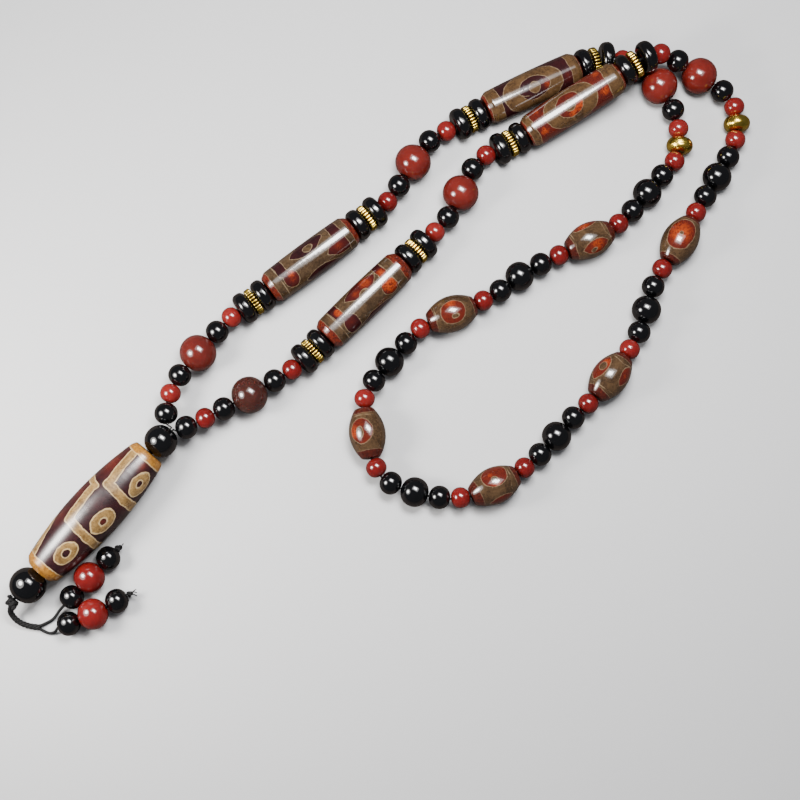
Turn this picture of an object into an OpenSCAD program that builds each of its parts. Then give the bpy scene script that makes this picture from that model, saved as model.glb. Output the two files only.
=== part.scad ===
// Dzi bead necklace laid out on the ground: one closed string of stone beads, which crosses over itself once,
// a long three-eyed dzi pendant and a tassel with two legs. +Z is up and the ground is at z = 0. The layout is
// worked out from the pendant's top bead, and the model's origin is on the ground under the middle of it all.

/* [Round beads] */
// Diameter of the small black beads
black_d = 8.4; // [7.6:0.1:9]
// Diameter of the small red beads
red_d = 7.5; // [6.9:0.1:8]
// Diameter of the agates
agate_d = 13.4; // [12.6:0.1:14]
// Diameter of the medium black beads between the oval dzi
medium_d = 10.7; // [10:0.1:11.4]
// How far each end of a round bead is flattened around its bore
end_flat = 0.3; // [0:0.05:0.4]
// Diameter of the gold beads
gold_bead_d = 9.8; // [8.8:0.1:10.8]
// Length of the gold beads along the string
gold_bead_len = 5.5; // [5:0.1:6.2]

/* [Discs and rings] */
// Diameter of the black discs beside the long dzi
disc_d = 12; // [11:0.1:13]
// Thickness of the black discs
disc_len = 4.95; // [4.4:0.05:5.4]
// Radius of the discs' round edges
disc_edge = 2.1; // [1.2:0.1:2.1]
// Outer diameter of the fluted gold rings
ring_d = 10.4; // [9.4:0.1:11]
// Thickness of the fluted gold rings
ring_len = 2.6; // [2.2:0.1:3.2]
// Number of flutes around a gold ring
ring_flutes = 24; // [16:1:24]
// Diameter of each round flute
flute_d = 1.1; // [0.9:0.05:1.15]

/* [Dzi stones of the string] */
// Diameter of the long dzi at the middle
dzi_d = 13.2; // [12.4:0.1:13.4]
// Diameter of the long dzi where the end bevels start
dzi_shoulder_d = 12.5; // [11.4:0.1:12.6]
// Diameter of the long dzi's flat end faces
dzi_face_d = 9.8; // [8.6:0.1:10.6]
// Length of the end bevels along the stone
dzi_bevel = 2.2; // [1.4:0.1:3]
// Length of the first long dzi, left and low
dzi_1_len = 38.2; // [37:0.1:39.6]
// Length of the second long dzi, which lies under the crossing
dzi_2_len = 38.8; // [37.6:0.1:40]
// Length of the third long dzi, which leans over the second
dzi_3_len = 40.8; // [39.6:0.1:42]
// Length of the fourth long dzi, beside the first
dzi_4_len = 39.6; // [38.4:0.1:41]
// Diameter of the oval dzi at the middle
oval_d = 13.2; // [12:0.1:14]
// Length of the oval dzi
oval_len = 18.2; // [17.2:0.1:19.2]
// Diameter of the oval dzi's flat end faces
oval_face_d = 6; // [5:0.1:7]

/* [Pendant] */
// Diameter of the black bead above the pendant
top_d = 11.8; // [11:0.1:12.6]
// Length of the pendant stone
pendant_len = 56; // [52:0.5:60]
// Diameter of the pendant stone at the middle
pendant_d = 18.8; // [17:0.1:20]
// Diameter of the pendant stone where its round ends start
pendant_shoulder_d = 13.4; // [12.6:0.1:14.4]
// Diameter of the upper end face
pendant_top_face_d = 11.6; // [10:0.1:12.2]
// Diameter of the lower end face
pendant_low_face_d = 9.8; // [9:0.1:12]
// Length of the round ends along the stone
pendant_bevel = 1.8; // [1.2:0.1:2.6]
// Diameter of the black bead below the pendant
bottom_d = 12.8; // [12:0.1:13.6]
// Direction in which the pendant lies, from its top bead
pendant_turn = 228.6; // [226:0.2:231]
// Direction in which the two sides of the loop leave the top bead, taken between them
fork_turn = 55.8; // [53:0.2:58]

/* [Tassel] */
// Diameter of the big red beads of the tassel
tassel_red_d = 11; // [10.2:0.1:11.6]
// Diameter of the black beads of the tassel
tassel_black_d = 8.6; // [7.8:0.1:9.2]
// Diameter of the knot under the pendant
knot_d = 3.8; // [3.2:0.1:4.2]
// Diameter of the small knots that end the tassel's legs
end_knot_d = 2.6; // [2.3:0.1:3]

/* [Thread and bores] */
// Diameter of the thread through the loop
thread_d = 0.8; // [0.6:0.05:0.9]
// Bore of the small and medium beads, discs, rings and oval dzi of the loop
bead_bore = 1.8; // [1.6:0.05:2]
// Bore of the agates and the long dzi of the loop
dzi_bore = 2.2; // [2:0.05:2.6]
// Diameter of the doubled cord through the pendant and below it
cord_d = 1.9; // [1.6:0.05:2]
// Bore of the pendant stone and of the black beads at its ends
pendant_bore = 2.8; // [2.6:0.05:3.2]
// Diameter of each strand of the tassel
strand_d = 0.9; // [0.7:0.05:1]
// Bore of the tassel's beads
tassel_bore = 2; // [1.8:0.05:2.2]
// Gap between neighbours on the string
bead_gap = 0.1; // [0.1:0.01:0.2]

/* [Hidden] */

$fn = 48;
THREAD_SIDES = 6;

// The loop's beads in order, up the left side, through the inner part and back
AGATE_RUN = ["red", "black", "agate", "black", "red"];
DZI_RUN = ["disc", "ring", "disc", "long dzi", "disc", "ring", "disc"];
MEDIUM_RUN = ["red", "black", "medium", "black", "red"];
OVALS = 6;
SIDE = concat(["black"], AGATE_RUN, DZI_RUN, AGATE_RUN, DZI_RUN, AGATE_RUN, ["gold"]);
INNER = concat(MEDIUM_RUN, [for (k = [1 : OVALS]) each concat(["oval dzi"], MEDIUM_RUN)]);
LOOP = concat(SIDE, INNER, [for (i = [len(SIDE) - 1 : -1 : 0]) SIDE[i]]);
N = len(LOOP);

// Length of a round bead along the string
function run_of(d) = d - 2 * end_flat;

// Name, diameter, length, radius of the flat end face and reach of each kind. The reach runs from an end to the
// point that the bead turns about, so a round bead turns about its centre and a long stone about two points.
KINDS = [
    ["black", black_d, run_of(black_d), 0, run_of(black_d) / 2],
    ["red", red_d, run_of(red_d), 0, run_of(red_d) / 2],
    ["agate", agate_d, run_of(agate_d), 0, run_of(agate_d) / 2],
    ["medium", medium_d, run_of(medium_d), 0, run_of(medium_d) / 2],
    ["gold", gold_bead_d, gold_bead_len, (gold_bead_d - gold_bead_len) / 2, gold_bead_len / 2],
    ["disc", disc_d, disc_len, disc_d / 2 - disc_edge, disc_len / 2],
    ["ring", ring_d, ring_len, ring_d / 2, ring_len / 2],
    ["oval dzi", oval_d, oval_len, oval_face_d / 2, oval_len / 4],
    ["long dzi", dzi_d, 0, dzi_face_d / 2, dzi_face_d / 2]
];
DZI_LENS = [dzi_1_len, dzi_2_len, dzi_3_len, dzi_4_len];
// Kinds that are too small to reach the ground between their neighbours
HELD_UP = ["black", "red", "ring"];

// Where the string crosses itself, a disc of the upper side presses this black bead to the ground
PRESSED_BEAD = 26;
CROSS_GAP = 0.3;
// Steepest climb of the string from one bead to the next, as height over length
STEEPEST = 0.8;
// Bead of the upper side, and the shares of the crossing's rise at its first and last end
RISE = [
    [76, 0.46, 0.46],
    [77, 0.8, 0.8],
    [78, 1, 1],
    [79, 0.9, 0.9],
    [80, 0.82, 0.82],
    [81, 0.58, 0.09],
    [82, 0.04, 0.04]
];

// Places that the loop passes, in millimetres from the top bead, as the necklace was laid down
ROUTE = [
    [5, 23], [21, 43], [28, 49], [53, 68], [77, 87], [83, 93], [95, 112], [107, 120],
    [132, 133], [164, 147], [179, 140], [188, 127], [190, 110], [180, 97], [172, 87], [161, 78],
    [133, 64], [119, 54], [102, 46], [95, 44], [75, 21], [73, 8], [78, -11], [91, -18],
    [107, -20], [121, -15], [134, -6], [147, 8], [157, 18], [172, 39], [179, 59], [187, 72],
    [200, 94], [208, 107], [208, 111], [212, 117], [209, 132], [186, 145], [173, 141], [153, 128],
    [125, 112], [114, 105], [105, 87], [98, 78], [72, 52], [50, 30], [41, 23], [22, 12]
];
ROUTE_STEPS = 12;

// Height of the pendant's axis, and of the beads at its ends, which hang a little lower
PENDANT_Z = pendant_d / 2;
END_DROP = 0.8;
TOP_Z = PENDANT_Z - END_DROP;
// Room between the loop's two last beads
FORK_GAP = 0.5;
// Radii of the softened corners of the long stones and of the oval ones
SOFT = 1;
OVAL_SOFT = 0.2;
// The oval stones' narrow rim around each end face
OVAL_RIM = 0.5;
OVAL_BEVEL = 0.3;
// Depth of the loop's thread and of the doubled cord in the beads at their ends
THREAD_DEPTH = 1;
CORD_DEPTH = 0.2;
// How far above the top bead the two ends of the loop's thread part
LIP_ROOM = 0.5;
// Share of the knot's diameter between its middle and the start of the bare cord
KNOT_REACH = 0.62;
// Room between the ends of threads, cords and knots
END_GAP = 0.1;
// Share of its diameter by which each of two threads lies beside their middle
ASIDE = 0.6;
// Width of the knot under the pendant against its diameter
KNOT_WIDE = 1.5;
// Share of an end knot's distance by which it hangs below its leg's axis
KNOT_DROP = 0.3;

// First bead's place from the bottom bead, direction and bend of each leg of the tassel
LEGS = [
    [[14.5, -4], 48, 0],
    [[13.8, -13.2], 21, 9]
];
// Places of the bare cord below the knot, from the bottom bead, with heights
TAIL = [[-6.5, -9.5, 4.5], [-4.5, -12.5, 2], [-1, -14, 1.2], [3, -14.5, 1.2]];
// Places of the two strands between the cord's end and their first beads, from the bottom bead, with heights
STRANDS = [
    [[7.5, -11.5, 1], [10, -8.5, 2.4]],
    [[6, -16.5, 0.8], [8.5, -16, 1.8]]
];

function unit(v) = v / norm(v);
function bearing(a) = [cos(a), sin(a)];
function raised(p, z) = [p[0], p[1], z];
function level(v) = [v[0], v[1]];
function total(v, k = 0, sum = 0) = k == len(v) ? sum : total(v, k + 1, sum + v[k]);
function last(v) = v[len(v) - 1];

// Sizes of one bead of the loop
function kind(i) = KINDS[search([LOOP[i]], KINDS)[0]];
function rank(i) = len([for (j = [0 : 1 : i - 1]) if (LOOP[j] == LOOP[i]) j]);
function bead_d(i) = kind(i)[1];
function bead_len(i) = LOOP[i] == "long dzi" ? DZI_LENS[rank(i)] : kind(i)[2];
function face_r(i) = kind(i)[3];
function reach(i) = kind(i)[4];
function is_long(i) = bead_len(i) > 2 * reach(i) + bead_gap;
// Index in the loop of the n-th bead of a kind, counted from zero
function nth(name, n) = [for (i = [0 : N - 1]) if (LOOP[i] == name) i][n];

// Heights: the big beads lie on the ground, and the tight thread holds the small ones up between them
function held_up(i) = i != PRESSED_BEAD && len([for (name = HELD_UP) if (name == LOOP[i]) name]) > 0;
GROUNDED = [for (i = [0 : N - 1]) if (!held_up(i)) i];
HEIGHTS = concat([[-1, TOP_Z]], [for (i = GROUNDED) [i, bead_d(i) / 2]], [[N, TOP_Z]]);
CROSS_RISE = black_d + CROSS_GAP;
function rise(i, side) = let (row = [for (r = RISE) if (r[0] == i) r])
    len(row) == 0 ? 0 : CROSS_RISE * row[0][side > 0 ? 2 : 1];

// Turning points: one in a short bead, two in a long stone
PIVOTS = [for (i = [0 : N - 1]) each (is_long(i) ? [[i, -1], [i, 1]] : [[i, 0]])];
LAID_Z = [for (p = PIVOTS) lookup(p[0], HEIGHTS) + rise(p[0], p[1])];
FIRST_PIVOT = [for (i = [0 : N - 1]) [for (k = [0 : len(PIVOTS) - 1]) if (PIVOTS[k][0] == i) k][0]];
function last_pivot(i) = FIRST_PIVOT[i] + (is_long(i) ? 1 : 0);
LINKS = [for (k = [0 : len(PIVOTS) - 2]) let (i = PIVOTS[k][0], j = PIVOTS[k + 1][0])
    i == j ? bead_len(i) - 2 * reach(i) : reach(i) + reach(j) + bead_gap];
RUN = [for (k = 0, sum = 0; k < len(PIVOTS); sum = sum + (k < len(LINKS) ? LINKS[k] : 0), k = k + 1) sum];

// The loop's first and last bead lie side by side against the top bead
FORK_OUT = sqrt(pow((top_d + black_d) / 2 + bead_gap, 2) - pow(TOP_Z - LAID_Z[0], 2));
FORK_HALF = asin((black_d + FORK_GAP) / 2 / FORK_OUT);
LOOP_START = FORK_OUT * bearing(fork_turn + FORK_HALF);
LOOP_END = FORK_OUT * bearing(fork_turn - FORK_HALF);

// Smooth route through the chosen places
function spline(a, b, c, d, t) = 0.5 * (2 * b + (c - a) * t + (2 * a - 5 * b + 4 * c - d) * t * t
    + (3 * b - a - 3 * c + d) * t * t * t);
function smooth(points) = let (
        n = len(points),
        ends = concat([2 * points[0] - points[1]], points, [2 * last(points) - points[n - 2]]))
    concat([for (k = [0 : n - 2], s = [0 : ROUTE_STEPS - 1])
        spline(ends[k], ends[k + 1], ends[k + 2], ends[k + 3], s / ROUTE_STEPS)], [last(points)]);
function route(scale) = smooth(concat([LOOP_START], [for (p = ROUTE) p * scale], [LOOP_END]));

// Steps from one turning point to the next, straight across from place to place on the route
function next_place(line, k, at, chord) =
    k < len(line) - 2 && norm(line[k + 1] - at) < chord ? next_place(line, k + 1, at, chord)
    : let (e = line[k + 1] - line[k], w = line[k] - at)
        [k, line[k] + e * (sqrt(max(0, pow(w * e, 2) - e * e * (w * w - chord * chord))) - w * e) / (e * e)];
function walk(line, chords, j, k, places) = j == len(chords) ? places
    : let (s = next_place(line, k, last(places), chords[j]))
        walk(line, chords, j + 1, s[0], concat(places, [s[1]]));

// The route is drawn a little wider or closer until the last bead comes out beside the first
function laid(links, heights, scale, tries) = let (
        chords = [for (k = [0 : len(links) - 1]) sqrt(pow(links[k], 2) - pow(heights[k + 1] - heights[k], 2))],
        line = route(scale),
        places = walk(line, chords, 0, 0, [LOOP_START]),
        miss = (last(places) - LOOP_END) * unit(last(line) - line[len(line) - 2]))
    tries == 0 ? [for (k = [0 : len(places) - 1]) raised(places[k], heights[k])]
    : laid(links, heights, scale * (1 + miss / total(chords)), tries - 1);

// A bead's axis runs through its own turning points, or else between its neighbours
TOP = [0, 0, TOP_Z];
FORK_MOUTH = raised(bearing(pendant_turn + 180) * run_of(top_d) / 2, TOP_Z);
function axis(places, i) = let (a = FIRST_PIVOT[i], b = last_pivot(i))
    a < b ? unit(places[b] - places[a])
    : unit((i == N - 1 ? FORK_MOUTH : places[b + 1]) - (i == 0 ? FORK_MOUTH : places[a - 1]));
function centre(places, i) = (places[FIRST_PIVOT[i]] + places[last_pivot(i)]) / 2;

// Flat faces that lean against each other need extra room between their centres, and so does a round bead that
// is turned out of the line to its neighbour, because it is longer there than along its bore
function is_round(i) = face_r(i) == 0;
function turn_room(i, axes, dir) = is_round(i) ? 2 * end_flat * (1 - pow(axes[i] * dir, 2)) : 0;
function lean_room(draft, axes, k) = let (
        i = PIVOTS[k][0], j = PIVOTS[k + 1][0], flat = min(face_r(i), face_r(j)),
        d = unit(draft[k + 1] - draft[k]),
        dir = !is_round(i) ? axes[i] : !is_round(j) ? axes[j] : d,
        lean = max(is_round(i) ? 0 : 1 / abs(axes[i] * d) - 1, is_round(j) ? 0 : 1 / abs(axes[j] * d) - 1))
    i == j ? 0 : flat > 0 ? flat * norm(cross(axes[i], axes[j]))
    : LINKS[k] * lean + turn_room(i, axes, dir) + turn_room(j, axes, dir);
function lay(heights) = let (
        draft = laid(LINKS, heights, 1, 2),
        axes = [for (i = [0 : N - 1]) axis(draft, i)])
    laid([for (k = [0 : len(LINKS) - 1]) LINKS[k] + lean_room(draft, axes, k)], heights, 1, 4);

// Height at which a short bead j of the upper side passes over a round bead i of the lower side
function pass_over(places, j, i) = let (
        edge = bead_d(j) / 2 - face_r(j), dir = unit(level(axis(places, j))),
        away = level(centre(places, i) - centre(places, j)),
        along = max(0, abs(away * dir) - max(0, bead_len(j) / 2 - edge)), across = abs(cross(away, dir)),
        touch = bead_d(i) / 2 + edge + bead_gap,
        over = along < touch ? face_r(j) + sqrt(touch * touch - along * along) : 0)
    across < over ? centre(places, i)[2] + sqrt(over * over - across * across) : 0;
LOWER = [for (i = [0 : len(SIDE) - 1]) if (is_round(i)) i];
UPPER = [for (j = [N - len(SIDE) : N - 1]) if (!is_long(j)) j];
function lifted(heights, places) = let (
        needs = [for (j = UPPER) let (need = max([for (i = LOWER) pass_over(places, j, i)]))
            if (need > heights[FIRST_PIVOT[j]]) [RUN[FIRST_PIVOT[j]], need]])
    [for (k = [0 : len(heights) - 1])
        max(concat([heights[k]], [for (n = needs) n[1] - STEEPEST * abs(RUN[k] - n[0])]))];
// Where the beads under the crossing differ, the upper side is lifted further and laid again
function settled(heights, tries) = let (places = lay(heights), higher = lifted(heights, places))
    tries == 0 || higher == heights ? places : settled(higher, tries - 1);
PLACES = settled(LAID_Z, 3);
CENTRES = [for (i = [0 : N - 1]) centre(PLACES, i)];
AXES = [for (i = [0 : N - 1]) axis(PLACES, i)];

// Pendant group, straight down from the top bead
PENDANT_DIR = raised(bearing(pendant_turn), 0);
PENDANT_MID = raised(level(PENDANT_DIR) * (run_of(top_d) / 2 + bead_gap + pendant_len / 2), PENDANT_Z);
BOTTOM = raised(
    level(PENDANT_DIR) * (run_of(top_d) / 2 + pendant_len + run_of(bottom_d) / 2 + 2 * bead_gap), TOP_Z);
KNOT = BOTTOM + PENDANT_DIR * (run_of(bottom_d) + knot_d) / 2;

// Tassel beads lie on the ground, each leg as black, red, black
TASSEL_STEP = sqrt(pow((run_of(tassel_black_d) + run_of(tassel_red_d)) / 2 + bead_gap, 2)
    - pow((tassel_red_d - tassel_black_d) / 2, 2));
function leg_beads(leg) = let (
        a = level(BOTTOM) + leg[0],
        b = a + TASSEL_STEP * bearing(leg[1]),
        c = b + TASSEL_STEP * bearing(leg[1] + leg[2]))
    [raised(a, tassel_black_d / 2), raised(b, tassel_red_d / 2), raised(c, tassel_black_d / 2)];
function leg_axes(p) = [unit(p[1] - p[0]), unit(p[2] - p[0]), unit(p[2] - p[1])];
LEG_BEADS = [for (leg = LEGS) leg_beads(leg)];
LEG_AXES = [for (p = LEG_BEADS) leg_axes(p)];
function end_knot(n) = LEG_BEADS[n][2]
    + raised(LEG_AXES[n][2], -KNOT_DROP) * (run_of(tassel_black_d) + end_knot_d) / 2;

// Middle of the outline on the ground, which is the model's origin
OUTER = concat(
    [for (i = [0 : N - 1]) [CENTRES[i], bead_d(i) / 2]],
    [for (p = LEG_BEADS) [p[0], tassel_black_d / 2]],
    [[BOTTOM, bottom_d / 2], [KNOT, knot_d / 2]],
    [for (p = TAIL) [BOTTOM + p, cord_d / 2]]);
function middle(k) = (max([for (o = OUTER) o[0][k] + o[1]]) + min([for (o = OUTER) o[0][k] - o[1]])) / 2;
ORIGIN = [middle(0), middle(1), 0];

// Moves its children to a place and turns their Z along a direction
module place(at, dir) {
    translate(at - ORIGIN) rotate([0, acos(dir[2]), atan2(dir[1], dir[0])]) children();
}

module bead_at(i) {
    place(CENTRES[i], AXES[i]) children();
}

// Round bead, its ends a little flattened around the bore
ROUND_STEPS = 18;
module drilled_bead(d, bore) {
    mouth = acos(bore / d);
    rotate_extrude() polygon([for (s = [0 : ROUND_STEPS]) let (a = mouth * (2 * s / ROUND_STEPS - 1))
        [d / 2 * cos(a), d / 2 * sin(a) - end_flat * pow(sin(a), 3)]]);
}

// Round corner of an outline at b, between its neighbours a and c
CORNER_STEPS = 5;
function round_corner(a, b, c, r) = let (
        u = unit(a - b), v = unit(c - b), half = acos(u * v) / 2,
        mid = b + unit(u + v) * r / sin(half),
        from = b + u * r / tan(half) - mid, to = b + v * r / tan(half) - mid,
        start = atan2(from[1], from[0]), turn = atan2(to[1], to[0]) - start,
        sweep = turn > 180 ? turn - 360 : turn < -180 ? turn + 360 : turn)
    [for (s = [0 : CORNER_STEPS]) mid + r * bearing(start + sweep * s / CORNER_STEPS)];

// Disc, bead or knot with round edges, with a bore or without
module rounded_disc(d, thick, edge, bore) {
    outer = d / 2;
    top = thick / 2;
    rotate_extrude() polygon(concat(
        [[bore / 2, -top]],
        round_corner([bore / 2, -top], [outer, -top], [outer, top], edge),
        round_corner([outer, -top], [outer, top], [bore / 2, top], edge),
        [[bore / 2, top]]));
}

// Turned stone: a flat face, a bevel and a bellied side, with softened corners
BELLY_STEPS = 20;
module turned_stone(length, mid_d, shoulder_d, face_ds, bevel, bore, soft) {
    half = length / 2;
    belly = half - bevel;
    side = [for (s = [0 : BELLY_STEPS]) let (y = belly * (2 * s / BELLY_STEPS - 1))
        [mid_d / 2 - (mid_d - shoulder_d) / 2 * pow(y / belly, 2), y]];
    low = [face_ds[0] / 2, -half];
    high = [face_ds[1] / 2, half];
    rotate_extrude() polygon(concat(
        [[bore / 2, -half]],
        round_corner([bore / 2, -half], low, side[0], soft),
        round_corner(low, side[0], side[1], soft),
        [for (s = [1 : BELLY_STEPS - 1]) side[s]],
        round_corner(side[BELLY_STEPS - 1], last(side), high, soft),
        round_corner(last(side), high, [bore / 2, half], soft),
        [[bore / 2, half]]));
}

// Round tube through a list of places
module tube(path, d) {
    n = len(path);
    rings = [for (i = [0 : n - 1]) let (
            dir = unit(path[min(i + 1, n - 1)] - path[max(i - 1, 0)]),
            side = unit(cross(dir, [0, 0, 1])), up = cross(side, dir))
        each [for (s = [0 : THREAD_SIDES - 1])
            path[i] + d / 2 * (cos(360 * s / THREAD_SIDES) * side + sin(360 * s / THREAD_SIDES) * up) - ORIGIN]];
    walls = [for (i = [0 : n - 2], s = [0 : THREAD_SIDES - 1]) let (
            a = i * THREAD_SIDES + s, b = i * THREAD_SIDES + (s + 1) % THREAD_SIDES)
        [a, b, b + THREAD_SIDES, a + THREAD_SIDES]];
    first_face = [for (s = [THREAD_SIDES - 1 : -1 : 0]) s];
    last_face = [for (s = [0 : THREAD_SIDES - 1]) (n - 1) * THREAD_SIDES + s];
    polyhedron(rings, concat([first_face], walls, [last_face]));
}

module small_black_beads() {
    color("#17161a") for (i = [0 : N - 1]) if (LOOP[i] == "black") bead_at(i) drilled_bead(black_d, bead_bore);
}

module small_red_beads() {
    color("#9c1f1c") for (i = [0 : N - 1]) if (LOOP[i] == "red") bead_at(i) drilled_bead(red_d, bead_bore);
}

module black_discs() {
    color("#151416") for (i = [0 : N - 1]) if (LOOP[i] == "disc")
        bead_at(i) rounded_disc(disc_d, disc_len, disc_edge, bead_bore);
}

module gold_ring() {
    flute_at = (ring_d - flute_d) / 2;
    difference() {
        union() {
            cylinder(r = flute_at, h = ring_len, center = true);
            for (s = [0 : ring_flutes - 1]) rotate(360 * s / ring_flutes) translate([flute_at, 0, 0])
                cylinder(d = flute_d, h = ring_len, center = true, $fn = 16);
        }
        cylinder(d = bead_bore, h = 2 * ring_len, center = true);
    }
}

module gold_rings() {
    color("#c9a044") for (i = [0 : N - 1]) if (LOOP[i] == "ring") bead_at(i) gold_ring();
}

module agate(n) {
    color("#7c1410") bead_at(nth("agate", n)) drilled_bead(agate_d, dzi_bore);
}

module medium_black(n) {
    color("#17161a") bead_at(nth("medium", n)) drilled_bead(medium_d, bead_bore);
}

module oval_dzi(n) {
    color("#6b4a2a") bead_at(nth("oval dzi", n))
        turned_stone(oval_len, oval_d, oval_face_d + 2 * OVAL_RIM, [oval_face_d, oval_face_d], OVAL_BEVEL, bead_bore,
                     OVAL_SOFT);
}

module long_dzi(n) {
    i = nth("long dzi", n);
    color("#5a2a1c") bead_at(i)
        turned_stone(bead_len(i), dzi_d, dzi_shoulder_d, [dzi_face_d, dzi_face_d], dzi_bevel, dzi_bore, SOFT);
}

module gold_bead(n) {
    color("#c9a044") bead_at(nth("gold", n))
        rounded_disc(gold_bead_d, gold_bead_len, gold_bead_len / 2 - END_GAP, bead_bore);
}

module top_bead() {
    color("#17161a") place(TOP, PENDANT_DIR) drilled_bead(top_d, pendant_bore);
}

module pendant_dzi() {
    color("#4a2018") place(PENDANT_MID, PENDANT_DIR)
        turned_stone(pendant_len, pendant_d, pendant_shoulder_d, [pendant_top_face_d, pendant_low_face_d],
                     pendant_bevel, pendant_bore, SOFT);
}

module bottom_bead() {
    color("#17161a") place(BOTTOM, PENDANT_DIR) drilled_bead(bottom_d, pendant_bore);
}

module tassel_black_beads() {
    color("#17161a") for (n = [0 : len(LEGS) - 1], k = [0, 2])
        place(LEG_BEADS[n][k], LEG_AXES[n][k]) drilled_bead(tassel_black_d, tassel_bore);
}

module tassel_red(n) {
    color("#9c2420") place(LEG_BEADS[n][1], LEG_AXES[n][1]) drilled_bead(tassel_red_d, tassel_bore);
}

// The thread runs straight through each bead, from mouth to mouth of its bore, and turns only between two of them
function mouth(i, side) = CENTRES[i] + side * AXES[i] * bead_len(i) / 2;
module loop_thread() {
    side = unit(cross(PENDANT_DIR, [0, 0, 1])) * thread_d * ASIDE;
    inside = TOP - PENDANT_DIR * (run_of(top_d) / 2 - THREAD_DEPTH);
    lip = TOP - PENDANT_DIR * (run_of(top_d) / 2 + LIP_ROOM);
    color("#2a2422") tube(concat(
        [inside + side, lip + side],
        [for (i = [0 : N - 1]) each [mouth(i, -1), mouth(i, 1)]],
        [lip - side, inside - side]), thread_d);
}

module pendant_cord() {
    color("#1d1b1c") tube([
        TOP - PENDANT_DIR * (run_of(top_d) / 2 - THREAD_DEPTH - END_GAP),
        (TOP + PENDANT_MID - PENDANT_DIR * (pendant_len - run_of(top_d)) / 2) / 2,
        (BOTTOM + PENDANT_MID + PENDANT_DIR * (pendant_len - run_of(bottom_d)) / 2) / 2,
        BOTTOM + PENDANT_DIR * (run_of(bottom_d) / 2 - END_GAP)
    ], cord_d);
}

function from_bottom(p) = raised(level(BOTTOM), 0) + p;
module tassel_cord() {
    end = from_bottom(last(TAIL));
    start = from_bottom(TAIL[0]);
    end_dir = unit(end - from_bottom(TAIL[len(TAIL) - 2]));
    color("#1d1b1c") tube(concat(
        [KNOT + unit(start - KNOT) * (knot_d * KNOT_REACH + END_GAP)],
        [for (p = TAIL) from_bottom(p)]), cord_d);
    color("#1d1b1c") for (n = [0 : len(LEGS) - 1]) {
        aside = unit(cross([0, 0, 1], end_dir)) * strand_d * ASIDE * (n == 0 ? 1 : -1);
        p = LEG_BEADS[n];
        a = LEG_AXES[n];
        black = run_of(tassel_black_d) / 2;
        red = run_of(tassel_red_d) / 2;
        tube(concat(
            [end + end_dir * END_GAP + aside],
            [for (q = STRANDS[n]) from_bottom(q)],
            [p[0] - a[0] * black,
             (p[0] + a[0] * black + p[1] - a[1] * red) / 2,
             (p[1] + a[1] * red + p[2] - a[2] * black) / 2,
             p[2] + a[2] * (black - CORD_DEPTH)]), strand_d);
    }
}

module knots() {
    color("#1d1b1c") {
        place(KNOT, unit(cross(PENDANT_DIR, [0, 0, 1])))
            rounded_disc(knot_d, knot_d * KNOT_WIDE, knot_d / 2 - END_GAP, 0);
        for (n = [0 : len(LEGS) - 1]) translate(end_knot(n) - ORIGIN) sphere(d = end_knot_d);
    }
}

small_black_beads();
small_red_beads();
black_discs();
gold_rings();
for (n = [0 : 5]) agate(n);
for (n = [0 : 6]) medium_black(n);
for (n = [0 : 5]) oval_dzi(n);
for (n = [0 : 3]) long_dzi(n);
for (n = [0 : 1]) gold_bead(n);
top_bead();
pendant_dzi();
bottom_bead();
tassel_black_beads();
for (n = [0 : 1]) tassel_red(n);
loop_thread();
pendant_cord();
tassel_cord();
knots();
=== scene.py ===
"""Dzi bead necklace on a pale floor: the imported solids, dressed with polished stone, brass and cord."""
import math

import bpy
import numpy as np
from bpy.props import FloatProperty, FloatVectorProperty, IntProperty, PointerProperty
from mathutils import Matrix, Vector


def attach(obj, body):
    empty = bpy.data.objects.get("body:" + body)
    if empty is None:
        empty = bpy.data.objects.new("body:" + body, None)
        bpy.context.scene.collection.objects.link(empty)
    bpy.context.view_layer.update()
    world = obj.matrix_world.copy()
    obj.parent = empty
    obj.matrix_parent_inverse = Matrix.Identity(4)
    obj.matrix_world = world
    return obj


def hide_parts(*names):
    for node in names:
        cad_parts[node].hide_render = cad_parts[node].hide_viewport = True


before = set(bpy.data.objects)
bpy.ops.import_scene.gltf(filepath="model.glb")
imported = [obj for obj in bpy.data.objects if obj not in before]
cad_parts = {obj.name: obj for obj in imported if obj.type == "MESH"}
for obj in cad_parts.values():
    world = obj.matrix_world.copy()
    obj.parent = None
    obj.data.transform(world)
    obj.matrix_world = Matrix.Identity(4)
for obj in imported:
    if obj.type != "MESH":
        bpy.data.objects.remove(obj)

bl_info = {
    "name": "Dzi Bead Necklace",
    "version": (1, 0, 0),
    "blender": (4, 5, 0),
    "location": "View3D > Sidebar > Necklace",
    "description": "Polished stones, patterned dzi, brass rings and braided cord for a strung bead necklace",
    "category": "Object",
}

MM = 0.001
FULL_TURN = 2 * math.pi
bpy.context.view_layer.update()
UP = np.array([0.0, 0.0, 1.0])

# Corners of a CAD mesh closer than this are one, and smaller faces have no direction
MERGE_STEP = 2e-6
SMALLEST_FACE = 1e-14

# Soft rim at the mouth of each bore, and round edges, in mm
RIM_SOFTNESS = 0.25
RIM_ANGLE = math.radians(1.5)
DISC_EDGE = 2.1
RING_EDGE = 0.7
GOLD_BEAD_FLAT = 0.1
EDGE_STEPS = 9

# Sides of the turned shapes
BALL_SIDES = 40
DISC_SIDES = 56
GOLD_BEAD_SIDES = 64
STONE_SIDES = 144
SIDES_PER_FLUTE = 10

# Round form of a flute, where the painted shade in a groove starts and how soon it is full, and the painted
# shade inside a ring
FLUTE_ROUNDNESS = 0.96
GROOVE_SHADE_START = 0.42
GROOVE_SHADE_RISE = 0.36
RING_INSIDE = 0.8
INSIDE_SHADE = 0.4

# Spacing of the rows along a dzi, and the distance that stands for far away from its pattern, in mm
STONE_STEP = 0.32
OUTLINE_STEP = 0.12
FAR = 9.0

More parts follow.
